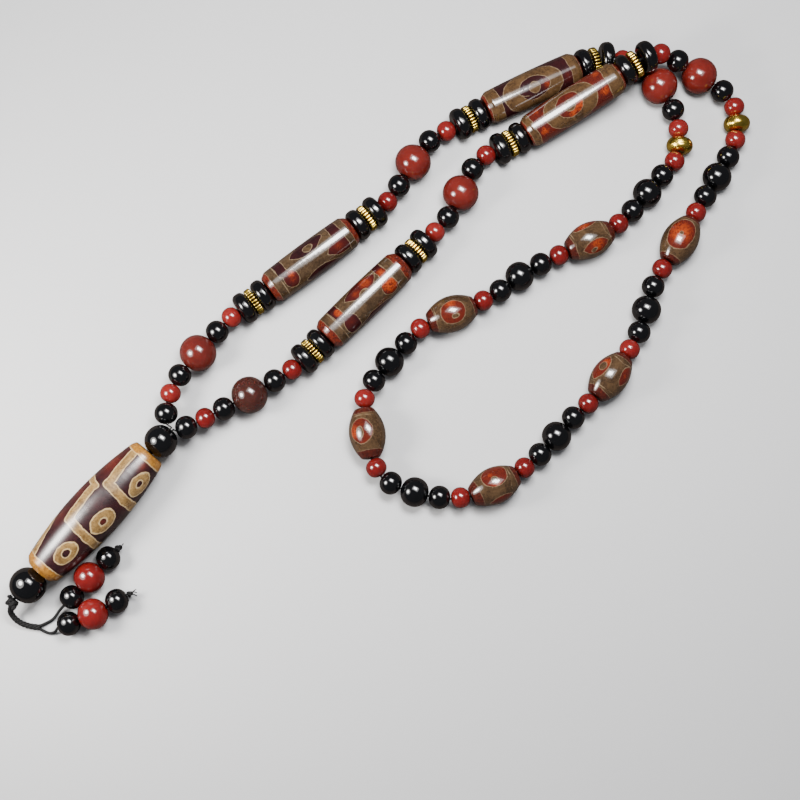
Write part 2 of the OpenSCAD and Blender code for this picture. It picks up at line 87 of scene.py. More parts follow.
# Widths over which the edges of a dzi's fields, coloured ends and lines fade, in mm
FIELD_FADE = 0.16
END_FADE = 0.3
LINE_FADE = 0.14

CAMERA_PLACE = (3.14 * MM, -108.18 * MM, 467.78 * MM)
CAMERA_AIM = (3.14 * MM, -25.69 * MM, 0.0)
CAMERA_LENS = 58.5
SENSOR_WIDTH = 36
FLOOR_HALF = 2.0

# Lamps, each with a bright middle just in front: name, place, shape, size, brightness and colour
LAMP_PLACE = Vector((-0.230, -0.059, 0.181))
WINDOW_PLACE = Vector((0.051, 0.091, 0.407))
WARM_WHITE = (1, 0.98, 0.95)
WHITE = (1, 1, 1)
LAMPS = [
    ("Round lamp", LAMP_PLACE, "DISK", (0.20, 0.20), 5.0, WARM_WHITE),
    ("Round lamp middle", LAMP_PLACE * 0.97, "DISK", (0.085, 0.085), 58.0, WARM_WHITE),
    ("Window light", WINDOW_PLACE, "RECTANGLE", (0.38, 0.25), 4.0, WHITE),
    ("Window light middle", WINDOW_PLACE * 0.98, "RECTANGLE", (0.18, 0.105), 60.0, WHITE),
]
SKY_COLOUR = (0.9, 0.93, 1.0, 1.0)
SKY_STRENGTH = 0.12


def unit(v):
    return np.asarray(v, float) / np.linalg.norm(v)


def corner_places(mesh):
    places = np.empty(len(mesh.vertices) * 3)
    mesh.vertices.foreach_get("co", places)
    return places.reshape(-1, 3)


def read_triangles(node):
    """Merged corner places and triangles of a CAD node."""
    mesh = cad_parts[node].data
    places = corner_places(mesh)
    mesh.calc_loop_triangles()
    triangles = np.empty(len(mesh.loop_triangles) * 3, dtype=int)
    mesh.loop_triangles.foreach_get("vertices", triangles)
    _, first, same = np.unique(np.round(places / MERGE_STEP).astype(int), axis=0, return_index=True,
                               return_inverse=True)
    return places[first], same.ravel()[triangles].reshape(-1, 3)


def split_solids(triangles, count):
    """Label of the loose solid that each corner belongs to."""
    labels = np.arange(count)
    while True:
        least = labels[triangles].min(axis=1)
        new = labels.copy()
        np.minimum.at(new, triangles.ravel(), np.repeat(least, 3))
        new = new[new]
        if (new == labels).all():
            return labels
        labels = new


def drilled_solids(node):
    """Centre, axis, length, diameter and bore of each drilled solid of a CAD node, in metres."""
    places, triangles = read_triangles(node)
    labels = split_solids(triangles, len(places))
    found = []
    for label in np.unique(labels[triangles[:, 0]]):
        own = triangles[labels[triangles[:, 0]] == label]
        a, b, c = places[own[:, 0]], places[own[:, 1]], places[own[:, 2]]
        normal = np.cross(b - a, c - a)
        area = np.linalg.norm(normal, axis=1)
        keep = area > SMALLEST_FACE
        normal = normal[keep] / area[keep, None]
        area = area[keep]
        middle = (a + b + c)[keep] / 3
        centre = (middle * area[:, None]).sum(axis=0) / area.sum()
        inward = ((middle - centre) * normal).sum(axis=1) < 0
        spread = (normal[inward, :, None] * normal[inward, None, :] * area[inward, None, None]).sum(axis=0)
        axis = np.linalg.eigh(spread)[1][:, 0]
        axis = axis * (1 if axis[0] > 0 else -1)
        corners = places[np.unique(own)] - centre
        along = corners @ axis
        centre = centre + axis * (along.max() + along.min()) / 2
        corners = places[np.unique(own)] - centre
        along = corners @ axis
        radius = np.linalg.norm(corners - along[:, None] * axis, axis=1)
        found.append({"centre": centre, "axis": axis, "length": along.max() - along.min(),
                      "d": 2 * radius.max(), "bore": 2 * radius.min(), "along": along, "radius": radius})
    return found


def closed_lathe(profile, sides, waves=None):
    """Corners and faces of a closed (radius, height) outline, turned about Z. Waves scale radii by angle."""
    profile = np.asarray(profile, float)
    rows = len(profile)
    turn = np.arange(sides) * FULL_TURN / sides
    radius = np.repeat(profile[:, 0][:, None], sides, axis=1)
    if waves is not None:
        radius = waves(radius, turn[None, :])
    places = np.stack([radius * np.cos(turn), radius * np.sin(turn),
                       np.repeat(profile[:, 1][:, None], sides, axis=1)], axis=2).reshape(-1, 3)
    row, side = np.meshgrid(np.arange(rows), np.arange(sides), indexing="ij")
    next_row, next_side = (row + 1) % rows, (side + 1) % sides
    faces = np.stack([row * sides + side, row * sides + next_side, next_row * sides + next_side,
                      next_row * sides + side], axis=2).reshape(-1, 4)
    ends = places[faces]
    signed = np.einsum("ij,ij->", np.cross(ends[:, 0], ends[:, 1]), ends[:, 2])
    return places, faces if signed > 0 else faces[:, ::-1]


def corner_arc(middle, radius, start, end):
    turn = np.radians(np.linspace(start, end, EDGE_STEPS + 1))
    return [(middle[0] + radius * math.cos(t), middle[1] + radius * math.sin(t)) for t in turn]


def bead_outline(solid, rows):
    """Round bead, its ends a little flattened around the bore, with a soft rim at each mouth of the bore."""
    d, run, bore = solid["d"], solid["length"], solid["bore"]
    radius = d / 2
    last = math.acos(bore / d)
    flat = (radius * math.sin(last) - run / 2) / math.sin(last) ** 3
    turn = np.linspace(-last + RIM_ANGLE, last - RIM_ANGLE, rows + 1)
    outline = [(radius * math.cos(a), radius * math.sin(a) - flat * math.sin(a) ** 3) for a in turn]
    wall = run / 2 - RIM_SOFTNESS * MM
    return outline + [(bore / 2, wall), (bore / 2, 0), (bore / 2, -wall)]


def disc_outline(solid, edge):
    top, hole = solid["length"] / 2, solid["bore"] / 2
    outer = solid["d"] / 2 - edge
    soft = RIM_SOFTNESS * MM
    return ([(hole + soft, -top)] + corner_arc((outer, -top + edge), edge, -90, 0)
            + corner_arc((outer, top - edge), edge, 0, 90)
            + [(hole + soft, top), (hole, top - soft), (hole, -top + soft)])


def make_mesh(name, places, faces):
    mesh = bpy.data.meshes.new(name)
    mesh.from_pydata([tuple(p) for p in places], [], [tuple(int(k) for k in f) for f in faces])
    mesh.update()
    mesh.polygons.foreach_set("use_smooth", [True] * len(mesh.polygons))
    return mesh


def make_object(name, data):
    made = bpy.data.objects.new(name, data)
    bpy.context.scene.collection.objects.link(made)
    return made


def add_number(mesh, name, values):
    """A number on each corner of a mesh, for its material to read."""
    data = mesh.attributes.new(name, "FLOAT", "POINT")
    data.data.foreach_set("value", np.asarray(values, dtype=np.float32))


def fit_piece(piece, slot, *nodes):
    """A finished piece stands for its CAD nodes: it hangs under the root, and the CAD nodes are hidden. Its
    slot is not used.
    """
    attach(piece, "root")
    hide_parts(*nodes)


# Node trees


def plug(socket, value):
    """Sets a socket's value, or links it where the value is another node's output."""
    value = getattr(value, "socket", value)
    if isinstance(value, bpy.types.NodeSocket):
        socket.id_data.links.new(value, socket)
    else:
        socket.default_value = value


def add(tree, kind, inputs=None, **settings):
    """Adds a node, its settings first."""
    node = tree.nodes.new(kind)
    for name, value in settings.items():
        setattr(node, name, value)
    for name, value in (inputs or {}).items():
        plug(node.inputs[name], value)
    return node


class Value:
    """A number that a node puts out. Sums and products of it become Math nodes."""

    def __init__(self, socket):
        self.socket = socket

    def maths(self, operation, *others, clamp=False):
        inputs = dict(enumerate((self,) + others))
        node = add(self.socket.id_data, "ShaderNodeMath", inputs, operation=operation, use_clamp=clamp)
        return Value(node.outputs[0])

    def __add__(self, other):
        return self.maths("ADD", other)

    def __sub__(self, other):
        return self.maths("SUBTRACT", other)

    def __mul__(self, other):
        return self.maths("MULTIPLY", other)

    def __truediv__(self, other):
        return self.maths("DIVIDE", other)

    def scaled(self, factor, shift):
        """Times the factor plus the shift, kept between 0 and 1."""
        return self.maths("MULTIPLY_ADD", factor, shift, clamp=True)

    def mix(self, first, second):
        """The first colour where this is 0, and the second where it is 1."""
        inputs = {0: self, 6: first, 7: second}
        return add(self.socket.id_data, "ShaderNodeMix", inputs, data_type="RGBA").outputs[2]

    def ramp(self, stops):
        """Colours laid out along this value, as (place, colour)."""
        node = add(self.socket.id_data, "ShaderNodeValToRGB", {0: self})
        elements = node.color_ramp.elements
        while len(elements) < len(stops):
            elements.new(0.5)
        for element, (place, shade) in zip(elements, stops):
            element.position = place
            element.color = shade
        return node.outputs[0]


def node_group(name, kind, inputs, outputs):
    """A new group and its inputs by name. Its sockets are given as name: (type, default)."""
    tree = bpy.data.node_groups.new(name, kind)
    for side, sockets in (("INPUT", inputs), ("OUTPUT", outputs)):
        for label, (socket_type, *default) in sockets.items():
            socket = tree.interface.new_socket(label, in_out=side, socket_type="NodeSocket" + socket_type)
            if default:
                socket.default_value = default[0]
    return tree, {socket.name: Value(socket) for socket in tree.nodes.new("NodeGroupInput").outputs}


def put_out(tree, results):
    """Ends a group with its results by name."""
    add(tree, "NodeGroupOutput", results)
    return tree


def put_out_real(tree, geometry, finish):
    """Ends a Geometry Nodes tree: instances made real, with their material."""
    real = add(tree, "GeometryNodeRealizeInstances", {"Geometry": geometry})
    finished = add(tree, "GeometryNodeSetMaterial", {
        "Geometry": real.outputs["Geometry"], "Material": finish})
    return put_out(tree, {"Geometry": finished.outputs["Geometry"]})


def group_named(name, make):
    return bpy.data.node_groups.get(name) or make(name)


def strung_tree(name):
    """Sets one shape on each place of a string, along its own axis, with a shade of its own."""
    tree, given = node_group(name, "GeometryNodeTree", {
        "Geometry": ("Geometry",), "Shape": ("Object",), "Finish": ("Material",), "Seed": ("Int", 1)},
        {"Geometry": ("Geometry",)})
    shape = add(tree, "GeometryNodeObjectInfo", {"Object": given["Shape"]})
    aim = add(tree, "GeometryNodeInputNamedAttribute", {"Name": "aim"}, data_type="FLOAT_VECTOR")
    turn = add(tree, "FunctionNodeAlignRotationToVector", {"Vector": aim.outputs["Attribute"]}, axis="Z")
    strung = add(tree, "GeometryNodeInstanceOnPoints", {
        "Points": given["Geometry"], "Instance": shape.outputs["Geometry"],
        "Rotation": turn.outputs["Rotation"]})
    chance = add(tree, "FunctionNodeRandomValue", {"Seed": given["Seed"]}, data_type="FLOAT")
    shade = add(tree, "GeometryNodeStoreNamedAttribute", {
        "Geometry": strung.outputs["Instances"], "Name": "shade", "Value": chance.outputs[1]},
        data_type="FLOAT", domain="INSTANCE")
    return put_out_real(tree, shade.outputs["Geometry"], given["Finish"])


def run_tree(piece, tree, values):
    """Runs a Geometry Nodes tree on a piece and keeps the result as its plain mesh."""
    modifier = piece.modifiers.new(tree.name, "NODES")
    modifier.node_group = tree
    for item in tree.interface.items_tree:
        if item.item_type == "SOCKET" and item.in_out == "INPUT" and item.name in values:
            modifier[item.identifier] = values[item.name]
    bpy.context.view_layer.update()
    evaluated = piece.evaluated_get(bpy.context.evaluated_depsgraph_get())
    mesh = bpy.data.meshes.new_from_object(evaluated)
    piece.modifiers.remove(modifier)
    piece.data = mesh
    if not mesh.materials and values.get("Finish"):
        mesh.materials.append(values["Finish"])


def strung_piece(node, solids, shape_mesh, finish, slot, seed):
    """One piece with the same shape at each of a CAD node's solids."""
    points = bpy.data.meshes.new(node + " places")
    points.from_pydata([tuple(s["centre"]) for s in solids], [], [])
    aims = points.attributes.new("aim", "FLOAT_VECTOR", "POINT")
    aims.data.foreach_set("vector", np.concatenate([s["axis"] for s in solids]))
    piece = make_object("strung_" + node, points)
    shape = make_object(node + " shape", shape_mesh)
    run_tree(piece, group_named("Strung solids", strung_tree), {
        "Shape": shape, "Finish": finish, "Seed": seed})
    bpy.data.objects.remove(shape)
    fit_piece(piece, slot, node)
    return piece


# Materials


def tint(rgb, *shares):
    """An opaque colour, its red, green and blue each times a share. One share serves all three."""
    shares = shares * 3 if len(shares) == 1 else shares or (1, 1, 1)
    return (*(min(1.0, c * share) for c, share in zip(rgb, shares)), 1.0)


def object_place(tree):
    return add(tree, "ShaderNodeTexCoord").outputs["Object"]


def attribute(tree, name):
    return Value(add(tree, "ShaderNodeAttribute", attribute_name=name).outputs["Fac"])


def noise(tree, scale, detail, roughness, distortion=0.0, vector=None):
    inputs = {"Scale": scale, "Detail": detail, "Roughness": roughness, "Distortion": distortion,
              "Vector": vector or object_place(tree)}
    return Value(add(tree, "ShaderNodeTexNoise", inputs).outputs["Fac"])


def polish_group(name):
    """Hair scratches and faint polishing waves of a tumbled stone."""
    tree, given = node_group(name, "ShaderNodeTree", {"Scratches": ("Float", 0.5), "Gloss": ("Float", 0.08)},
                             {"Roughness": ("Float",), "Height": ("Float",)})
    stretch = add(tree, "ShaderNodeMapping", {
        "Vector": object_place(tree), "Rotation": (0.4, 0.9, 0.3), "Scale": (1.0, 9.0, 1.0)})
    scratches = noise(tree, 900, 2, 0.7, 0.6, stretch.outputs["Vector"]).maths("POWER", 6)
    cloud = noise(tree, 260, 3, 0.6)
    rough = scratches * given["Scratches"] + cloud * 0.05 + given["Gloss"]
    return put_out(tree, {"Roughness": rough, "Height": scratches * -0.4 + cloud})


def etched_group(name):
    """Etched dzi surface: mottled ground, glowing spots, tan fields with pale outlines, and coloured ends."""
    shades = ("Ground", "Dark Ground", "Warm", "Bright Warm", "Field", "Dark Field", "Line", "End",
              "Bright End")
    inputs = {shade: ("Color",) for shade in shades}
    inputs.update({"Line Width": ("Float", 0.16), "Line Strength": ("Float", 0.8)})
    tree, given = node_group(name, "ShaderNodeTree", inputs, {"Color": ("Color",)})
    slow = noise(tree, 330, 2, 0.5) - 0.5
    quick = noise(tree, 1300, 2, 0.5) - 0.5
    wobble = slow * 1.1 + quick * 0.35
    field_away = attribute(tree, "field") + wobble
    seam_away = attribute(tree, "seam") + wobble * 0.6
    end_away = attribute(tree, "end") + wobble * 0.7
    fine = noise(tree, 1100, 4, 0.65, 0.4)
    speck = noise(tree, 190, 5, 0.62, 0.9) * 0.55 + fine * 0.45

    base = speck.scaled(4.0, -1.5).mix(given["Dark Ground"], given["Ground"])
    glow = attribute(tree, "glow")
    heat = glow.maths("MULTIPLY", speck.scaled(3.4, -0.8), clamp=True)
    base = heat.mix(base, given["Warm"])
    veins = noise(tree, 520, 4, 0.6, 2.6).scaled(5.5, -2.1)
    fire = glow.maths("SUBTRACT", 0.6, clamp=True).maths("MULTIPLY", veins, clamp=True)
    base = fire.mix(base, given["Bright Warm"])

    tan = speck.scaled(4.4, -1.7).mix(given["Dark Field"], given["Field"])
    crackle = add(tree, "ShaderNodeTexVoronoi", {"Vector": object_place(tree), "Scale": 260},
                  feature="DISTANCE_TO_EDGE")
    cracks = Value(crackle.outputs["Distance"]).scaled(-16.0, 0.75)
    tan = (cracks * 0.42).mix(tan, given["Dark Field"])
    base = field_away.scaled(-1 / FIELD_FADE, 0.5).mix(base, tan)

    ends = fine.scaled(3.6, -1.3).mix(given["End"], given["Bright End"])
    base = end_away.scaled(-1 / END_FADE, 0.5).mix(base, ends)

    uneven = quick.maths("MULTIPLY_ADD", 0.35, given["Line Width"])
    field_rim, seam_rim, end_rim = [(uneven - away.maths("ABSOLUTE")).scaled(1 / LINE_FADE, 0.5)
                                    for away in (field_away, seam_away, end_away)]
    rim = field_rim.maths("MAXIMUM", seam_rim.maths("MAXIMUM", end_rim * 0.6))
    return put_out(tree, {"Color": (rim * given["Line Strength"]).mix(base, given["Line"])})


def new_material(name, rgb, **values):
    """A Principled material. Values that are the same all over are set on the shader's own sockets."""
    material = bpy.data.materials.new(name)
    material.use_nodes = True
    material.diffuse_color = tint(rgb)
    tree = material.node_tree
    shader = tree.nodes["Principled BSDF"]
    for key, value in {"Base_Color": tint(rgb), **values}.items():
        shader.inputs[key.replace("_", " ")].default_value = value
    return material, tree, shader


def bump(shader, height, strength, distance):
    node = add(shader.id_data, "ShaderNodeBump", {
        "Strength": strength, "Distance": distance, "Height": height})
    plug(shader.inputs["Normal"], node.outputs["Normal"])


def polish(tree, shader, scratches, gloss, depth):
    group = tree.nodes.new("ShaderNodeGroup")
    group.node_tree = group_named("Hand polish", polish_group)
    plug(group.inputs["Scratches"], scratches)
    plug(group.inputs["Gloss"], gloss)
    plug(shader.inputs["Roughness"], group.outputs["Roughness"])
    bump(shader, group.outputs["Height"], depth, 0.04 * MM)


def onyx_material(settings):
    """Black stone with a faint smoke in it."""
    black = settings.black_colour
    material, tree, shader = new_material("Polished onyx", black, IOR=1.58, Specular_IOR_Level=0.65)
    smoke = (*(c * 1.8 + 0.0008 for c in black), 1.0)
    cloud = noise(tree, 160, 4, 0.6, 0.4).maths("POWER", 3)
    plug(shader.inputs["Base Color"], cloud.mix(tint(black), smoke))
    polish(tree, shader, scratches=0.18, gloss=0.03, depth=0.06)
    return material


def red_material(settings):
    """Translucent red agate of the small rounds, a little different from bead to bead."""
    red = settings.red_colour
    material, tree, shader = new_material(
        "Red agate rounds", red, IOR=1.56, Specular_IOR_Level=0.65, Subsurface_Weight=0.3,
        Subsurface_Radius=(1.0, 0.1, 0.06), Subsurface_Scale=1.5 * MM)
    mixed = attribute(tree, "shade") * 0.5 + noise(tree, 230, 4, 0.62, 0.8) * 0.55
    stops = [(0.2, tint(red, 0.62, 0.6, 0.6)), (0.5, tint(red)), (0.8, tint(red, 1.3, 1.7, 1.5))]
    plug(shader.inputs["Base Color"], mixed.ramp(stops))
    polish(tree, shader, scratches=0.18, gloss=0.035, depth=0.08)
    return material


def agate_material(settings):
    """Brick red agate, from brown to orange red, with faint clouds and a few pale hairlines."""
    red = settings.agate_colour
    material, tree, shader = new_material(
        "Clouded red agate", red, IOR=1.56, Specular_IOR_Level=0.65, Subsurface_Weight=0.25,
        Subsurface_Radius=(1.0, 0.15, 0.07), Subsurface_Scale=2 * MM)
    cloud = noise(tree, 95, 4, 0.55, 0.6)
    brown = cloud.mix((0.020, 0.007, 0.0055, 1.0), (0.034, 0.012, 0.009, 1.0))
    fresh = cloud.scaled(2.6, -0.8).mix(tint(red, 0.75, 0.7, 0.7), tint(red, 1.3, 1.6, 1.5))
    base = attribute(tree, "shade").mix(brown, fresh)
    streak = (noise(tree, 150, 3, 0.5, 1.8) - 0.5).maths("ABSOLUTE")
    hair = streak.scaled(-60.0, 0.9) * 0.16
    plug(shader.inputs["Base Color"], hair.mix(base, tint(red, 2, 5, 6)))
    polish(tree, shader, scratches=0.18, gloss=0.035, depth=0.08)
    return material


def brass(name, settings, painted_brightness=1.0):
    """Gold coloured brass, with painted shade that darkens the grooves of a ring and its inside."""
    # A share above 1 paints a lighter copy of the brass, as painted light on the cast beads
    gold = [c * painted_brightness for c in settings.gold_colour]
    material, tree, shader = new_material(name, gold, Metallic=1.0)
    tarnish = noise(tree, 420, 4, 0.65, 0.3)
    base = tarnish.ramp([(0.25, tint(gold, 0.7)), (0.5, tint(gold)), (0.8, tint(gold, 1.1))])
    # Painted shade: the brass goes near black at the bottom of each groove between flutes, and darker inside a
    # ring
    groove_shade = attribute(tree, "groove").maths("POWER", 1.2, clamp=True)
    plug(shader.inputs["Base Color"], groove_shade.mix(base, tint(gold, 0.05, 0.035, 0.03)))
    return material, tree, shader


def gold_material(settings):
    material, tree, shader = brass("Gold coloured brass", settings)
    polish(tree, shader, scratches=0.4, gloss=0.13, depth=0.15)
    return material


def cast_gold_material(settings):
    """Brass with the soft dents and worn, uneven gloss of a cast bead, its colour painted brighter than the
    rings' brass as painted light.
    """
    material, tree, shader = brass("Cast gold coloured brass", settings, 1.3)
    dents = noise(tree, 330, 2, 0.5, 0.4)
    bump(shader, dents, 0.8, 0.8 * MM)
    plug(shader.inputs["Roughness"], dents.scaled(0.25, 0.12))
    return material


def dzi_material(name, shades, line_width, line_strength, gloss):
    """An etched stone. The shades go into the named colours of the etched pattern."""
    material, tree, shader = new_material(name, shades["Ground"], IOR=1.56, Specular_IOR_Level=0.7)
    group = tree.nodes.new("ShaderNodeGroup")
    group.node_tree = group_named("Etched pattern", etched_group)
    for key, shade in shades.items():
        plug(group.inputs[key], tint(shade))
    plug(group.inputs["Line Width"], line_width)
    plug(group.inputs["Line Strength"], line_strength)
    plug(shader.inputs["Base Color"], group.outputs["Color"])
    polish(tree, shader, scratches=0.25, gloss=gloss, depth=0.1)
    return material


def cord_material(settings):
    """Waxed black cord with fine fibres."""
    cord = settings.cord_colour
    material, tree, shader = new_material("Waxed cord", cord, Specular_IOR_Level=0.25)
    fibres = noise(tree, 3400, 3, 0.7, 0.4)
    plug(shader.inputs["Base Color"], fibres.scaled(2.4, -0.7).mix(tint(cord, 0.45), tint(cord, 1.9)))
    plug(shader.inputs["Roughness"], fibres.scaled(0.3, 0.5))
    bump(shader, fibres, 0.5, 0.06 * MM)
    return material


def floor_material(settings):
    """Plain pale floor, which shows darker and warmer in the polished stones, so their rims stay deep."""
    pale = settings.floor_colour
    material, tree, shader = new_material("Pale floor", pale, Roughness=0.7, Specular_IOR_Level=0.2)
    base = noise(tree, 9, 3, 0.5).mix(tint(pale, 0.985), tint(pale))
    mirrored = Value(add(tree, "ShaderNodeLightPath").outputs["Is Glossy Ray"])
    plug(shader.inputs["Base Color"], mirrored.mix(base, tint(settings.mirrored_floor_colour)))
    return material


MAKERS = {"onyx": onyx_material, "red": red_material, "agate": agate_material, "gold": gold_material,
          "cast gold": cast_gold_material, "cord": cord_material}
made_materials = {}


def material_for(kind, settings):
    if kind not in made_materials:
        made_materials[kind] = MAKERS[kind](settings)
    return made_materials[kind]


def colour_setting(name, description, default):
    return FloatVectorProperty(
        name=name, description=description, subtype="COLOR", size=3, default=default, min=0, max=1)


class NecklaceSettings(bpy.types.PropertyGroup):
    black_colour: colour_setting("Black stone", "Colour of the onyx beads and discs", (0.0012, 0.0012, 0.0015))
    red_colour: colour_setting("Small red beads", "Colour of the small red rounds", (0.125, 0.0075, 0.007))
    agate_colour: colour_setting("Agates", "Colour of the big agates", (0.105, 0.0085, 0.0065))
    gold_colour: colour_setting("Brass", "Colour of the gold coloured rings and beads", (0.62, 0.44, 0.075))
    cord_colour: colour_setting("Cord", "Colour of the braided cord", (0.0045, 0.0042, 0.0045))
    floor_colour: colour_setting("Floor", "Colour of the plain floor", (0.50, 0.50, 0.505))
    mirrored_floor_colour: colour_setting(
        "Floor in the stones", "Colour of the floor where it is mirrored in the stones", (0.055, 0.045, 0.041))
    flutes: IntProperty(name="Flutes", description="Flutes around each gold ring", default=24, min=12, max=36)
    flute_depth: FloatProperty(
        name="Flute depth", description="Depth of the grooves between two flutes", default=1.0 * MM, min=0,
        max=1.2 * MM, unit="LENGTH")
    cord_thickness: FloatProperty(
        name="Cord thickness", description="Thickness of the braided cord below the pendant", default=2.3 * MM,
        min=1.9 * MM, max=2.6 * MM, unit="LENGTH")


class NecklaceStep:
    """What the operators share: each runs at once and undoes as one step."""
    bl_options = {"REGISTER", "UNDO"}

    @property
    def settings(self):
        return bpy.context.scene.necklace


# Shade of each agate, from 0, brown, to 1, orange red
AGATE_TONES = {"agate_1": 0.62, "agate_2": 0.85, "agate_3": 1.0, "agate_4": 0.95, "agate_5": 0.85,
               "agate_6": 0.06}


class NECKLACE_OT_round_beads(NecklaceStep, bpy.types.Operator):
    """String the black, red and agate rounds"""
    bl_idname = "necklace.round_beads"
    bl_label = "Round Beads"

    def execute(self, context):
        rounds = [("small_black_beads", "onyx", "onyx", 24), ("small_red_beads", "red", "red_stone", 24),
                  ("top_bead", "onyx", "onyx", 32), ("bottom_bead", "onyx", "onyx", 32),
                  ("tassel_black_beads", "onyx", "onyx", 24), ("tassel_red_1", "red", "red_stone", 28),
                  ("tassel_red_2", "red", "red_stone", 28)]
        rounds += [("agate_%d" % k, "agate", "agate", 36) for k in range(1, 7)]
        rounds += [("medium_black_%d" % k, "onyx", "onyx", 30) for k in range(1, 8)]
        for seed, (node, kind, slot, rows) in enumerate(rounds, 3):
            solids = drilled_solids(node)
            shape = make_mesh(node, *closed_lathe(bead_outline(solids[0], rows), BALL_SIDES + rows // 2))
            piece = strung_piece(node, solids, shape, material_for(kind, self.settings), slot, seed)
            if node in AGATE_TONES:
                shades = piece.data.attributes["shade"].data
                shades.foreach_set("value", [AGATE_TONES[node]] * len(shades))
        return {"FINISHED"}


class NECKLACE_OT_discs_and_rings(NecklaceStep, bpy.types.Operator):
    """String the black discs, the fluted gold rings and the gold beads"""
    bl_idname = "necklace.discs_and_rings"
    bl_label = "Discs and Rings"

    def execute(self, context):
        discs = drilled_solids("black_discs")
        shape = make_mesh("disc", *closed_lathe(disc_outline(discs[0], DISC_EDGE * MM), DISC_SIDES))
        strung_piece("black_discs", discs, shape, material_for("onyx", self.settings), "onyx", 41)

        rings = drilled_solids("gold_rings")
        shape = self.fluted_ring(rings[0])
        strung_piece("gold_rings", rings, shape, material_for("gold", self.settings), "gold", 42)

        for k in (1, 2):
            node = "gold_bead_%d" % k
            solids = drilled_solids(node)
            edge = solids[0]["length"] / 2 - GOLD_BEAD_FLAT * MM
            shape = make_mesh(node, *closed_lathe(disc_outline(solids[0], edge), GOLD_BEAD_SIDES))
            strung_piece(node, solids, shape, material_for("cast gold", self.settings), "gold", 50 + k)
        return {"FINISHED"}

    def fluted_ring(self, ring):
        """A ring with round flutes and deep grooves, which are marked for the painted shade in them and inside
        the ring.
        """
        flutes, depth = self.settings.flutes, self.settings.flute_depth
        inner, outer = ring["bore"] / 2, ring["d"] / 2

        def off_crest(turn):
            return np.abs((turn / (FULL_TURN / flutes)) % 1 - 0.5) * 2

        def fluted(radius, turn):
            share = np.clip((radius - inner) / (outer - inner), 0, 1) ** 2
            return radius - depth * (1 - np.sqrt(1 - FLUTE_ROUNDNESS * off_crest(turn) ** 2)) * share

        places, faces = closed_lathe(disc_outline(ring, RING_EDGE * MM), flutes * SIDES_PER_FLUTE, fluted)
        shape = make_mesh("fluted ring", places, faces)
        # Painted shade on each corner: rising towards the bottom of a groove, and a fixed share inside the
        # ring
        deep = off_crest(np.arctan2(places[:, 1], places[:, 0])) - GROOVE_SHADE_START
        inside = np.hypot(places[:, 0], places[:, 1]) < outer * RING_INSIDE
        add_number(shape, "groove", np.where(inside, INSIDE_SHADE, np.clip(deep / GROOVE_SHADE_RISE, 0, 1)))
        return shape


def stone_surface(node):
    """Fine turned mesh of a stone, with each corner's place along it (mm) and angle around it (degrees)."""
    solid = drilled_solids(node)[0]
    outer = solid["radius"] > solid["bore"] / 2 + 0.2 * MM
    grid = 0.01 * MM
    pairs = np.column_stack([solid["along"], solid["radius"]])[outer]
    pairs = np.unique(np.round(pairs / grid).astype(int), axis=0) * grid
    keep = [0]
    for k in range(1, len(pairs)):
        if np.linalg.norm(pairs[k] - pairs[keep[-1]]) > OUTLINE_STEP * MM:
            keep.append(k)
    line = pairs[keep]
    half, bore = solid["length"] / 2, solid["bore"] / 2
    mouth = bore + RIM_SOFTNESS * MM
    line = np.vstack([[-half, mouth], line[line[:, 1] > mouth], [half, mouth]])
    run = np.concatenate([[0], np.cumsum(np.linalg.norm(np.diff(line, axis=0), axis=1))])
    at = np.linspace(0, run[-1], max(24, int(run[-1] / (STONE_STEP * MM))) + 1)
    wall = half - RIM_SOFTNESS * MM
    along = np.concatenate([np.interp(at, run, line[:, 0]), [wall, 0, -wall]])
    radius = np.concatenate([np.interp(at, run, line[:, 1]), [bore, bore, bore]])
    places, faces = closed_lathe(np.column_stack([radius, along]), STONE_SIDES)
    axis = solid["axis"]
    side = unit(np.cross(UP, axis))
    top = np.cross(axis, side)
    angle = np.degrees(np.arctan2(places[:, 1], places[:, 0]))
    world = solid["centre"] + places[:, :1] * top + places[:, 1:2] * side + places[:, 2:] * axis
    faces = faces[:, ::-1]  # top, side and axis are a left-handed frame, which turns the skin inside out
    return world, faces, places[:, 2] / MM, angle, np.hypot(places[:, 0], places[:, 1]) / MM, half / MM


def wrap(angle):
    return (angle + 180) % 360 - 180


def away_from(shape, s, angle, radius):
    """Distance in mm, below zero inside, to a shape drawn on a stone. A shape is one of
    ring: from, to;  oval or lens: place, angle, half length, half width, perhaps a tilt in degrees;
    band: width, then the (place, angle) points of its middle line."""
    kind, *sizes = shape
    if kind == "ring":
        return np.maximum(sizes[0] - s, s - sizes[1])
    if kind == "band":
        best = np.full(len(s), 1e3)
        for (s0, a0), (s1, a1) in zip(sizes[1:-1], sizes[2:]):
            ds, da = s1 - s0, np.radians(a1 - a0) * radius
            u, v = s - s0, np.radians(wrap(angle - a0)) * radius
            t = np.clip((u * ds + v * da) / (ds * ds + da * da + 1e-9), 0, 1)
            best = np.minimum(best, np.hypot(u - t * ds, v - t * da))
        return best - sizes[0] / 2
    place, turn, long_half, wide_half, *tilt = sizes
    u, v = s - place, np.radians(wrap(angle - turn)) * radius
    lean = math.radians(sum(tilt))
    c, k = math.cos(lean), math.sin(lean)
    u, v = u * c + v * k, v * c - u * k
    if kind == "oval":
        return (np.hypot(u / long_half, v / wide_half) - 1) * min(long_half, wide_half)
    bow = (long_half ** 2 + wide_half ** 2) / (2 * wide_half)
    return np.hypot(u, np.abs(v) + bow - wide_half) - bow


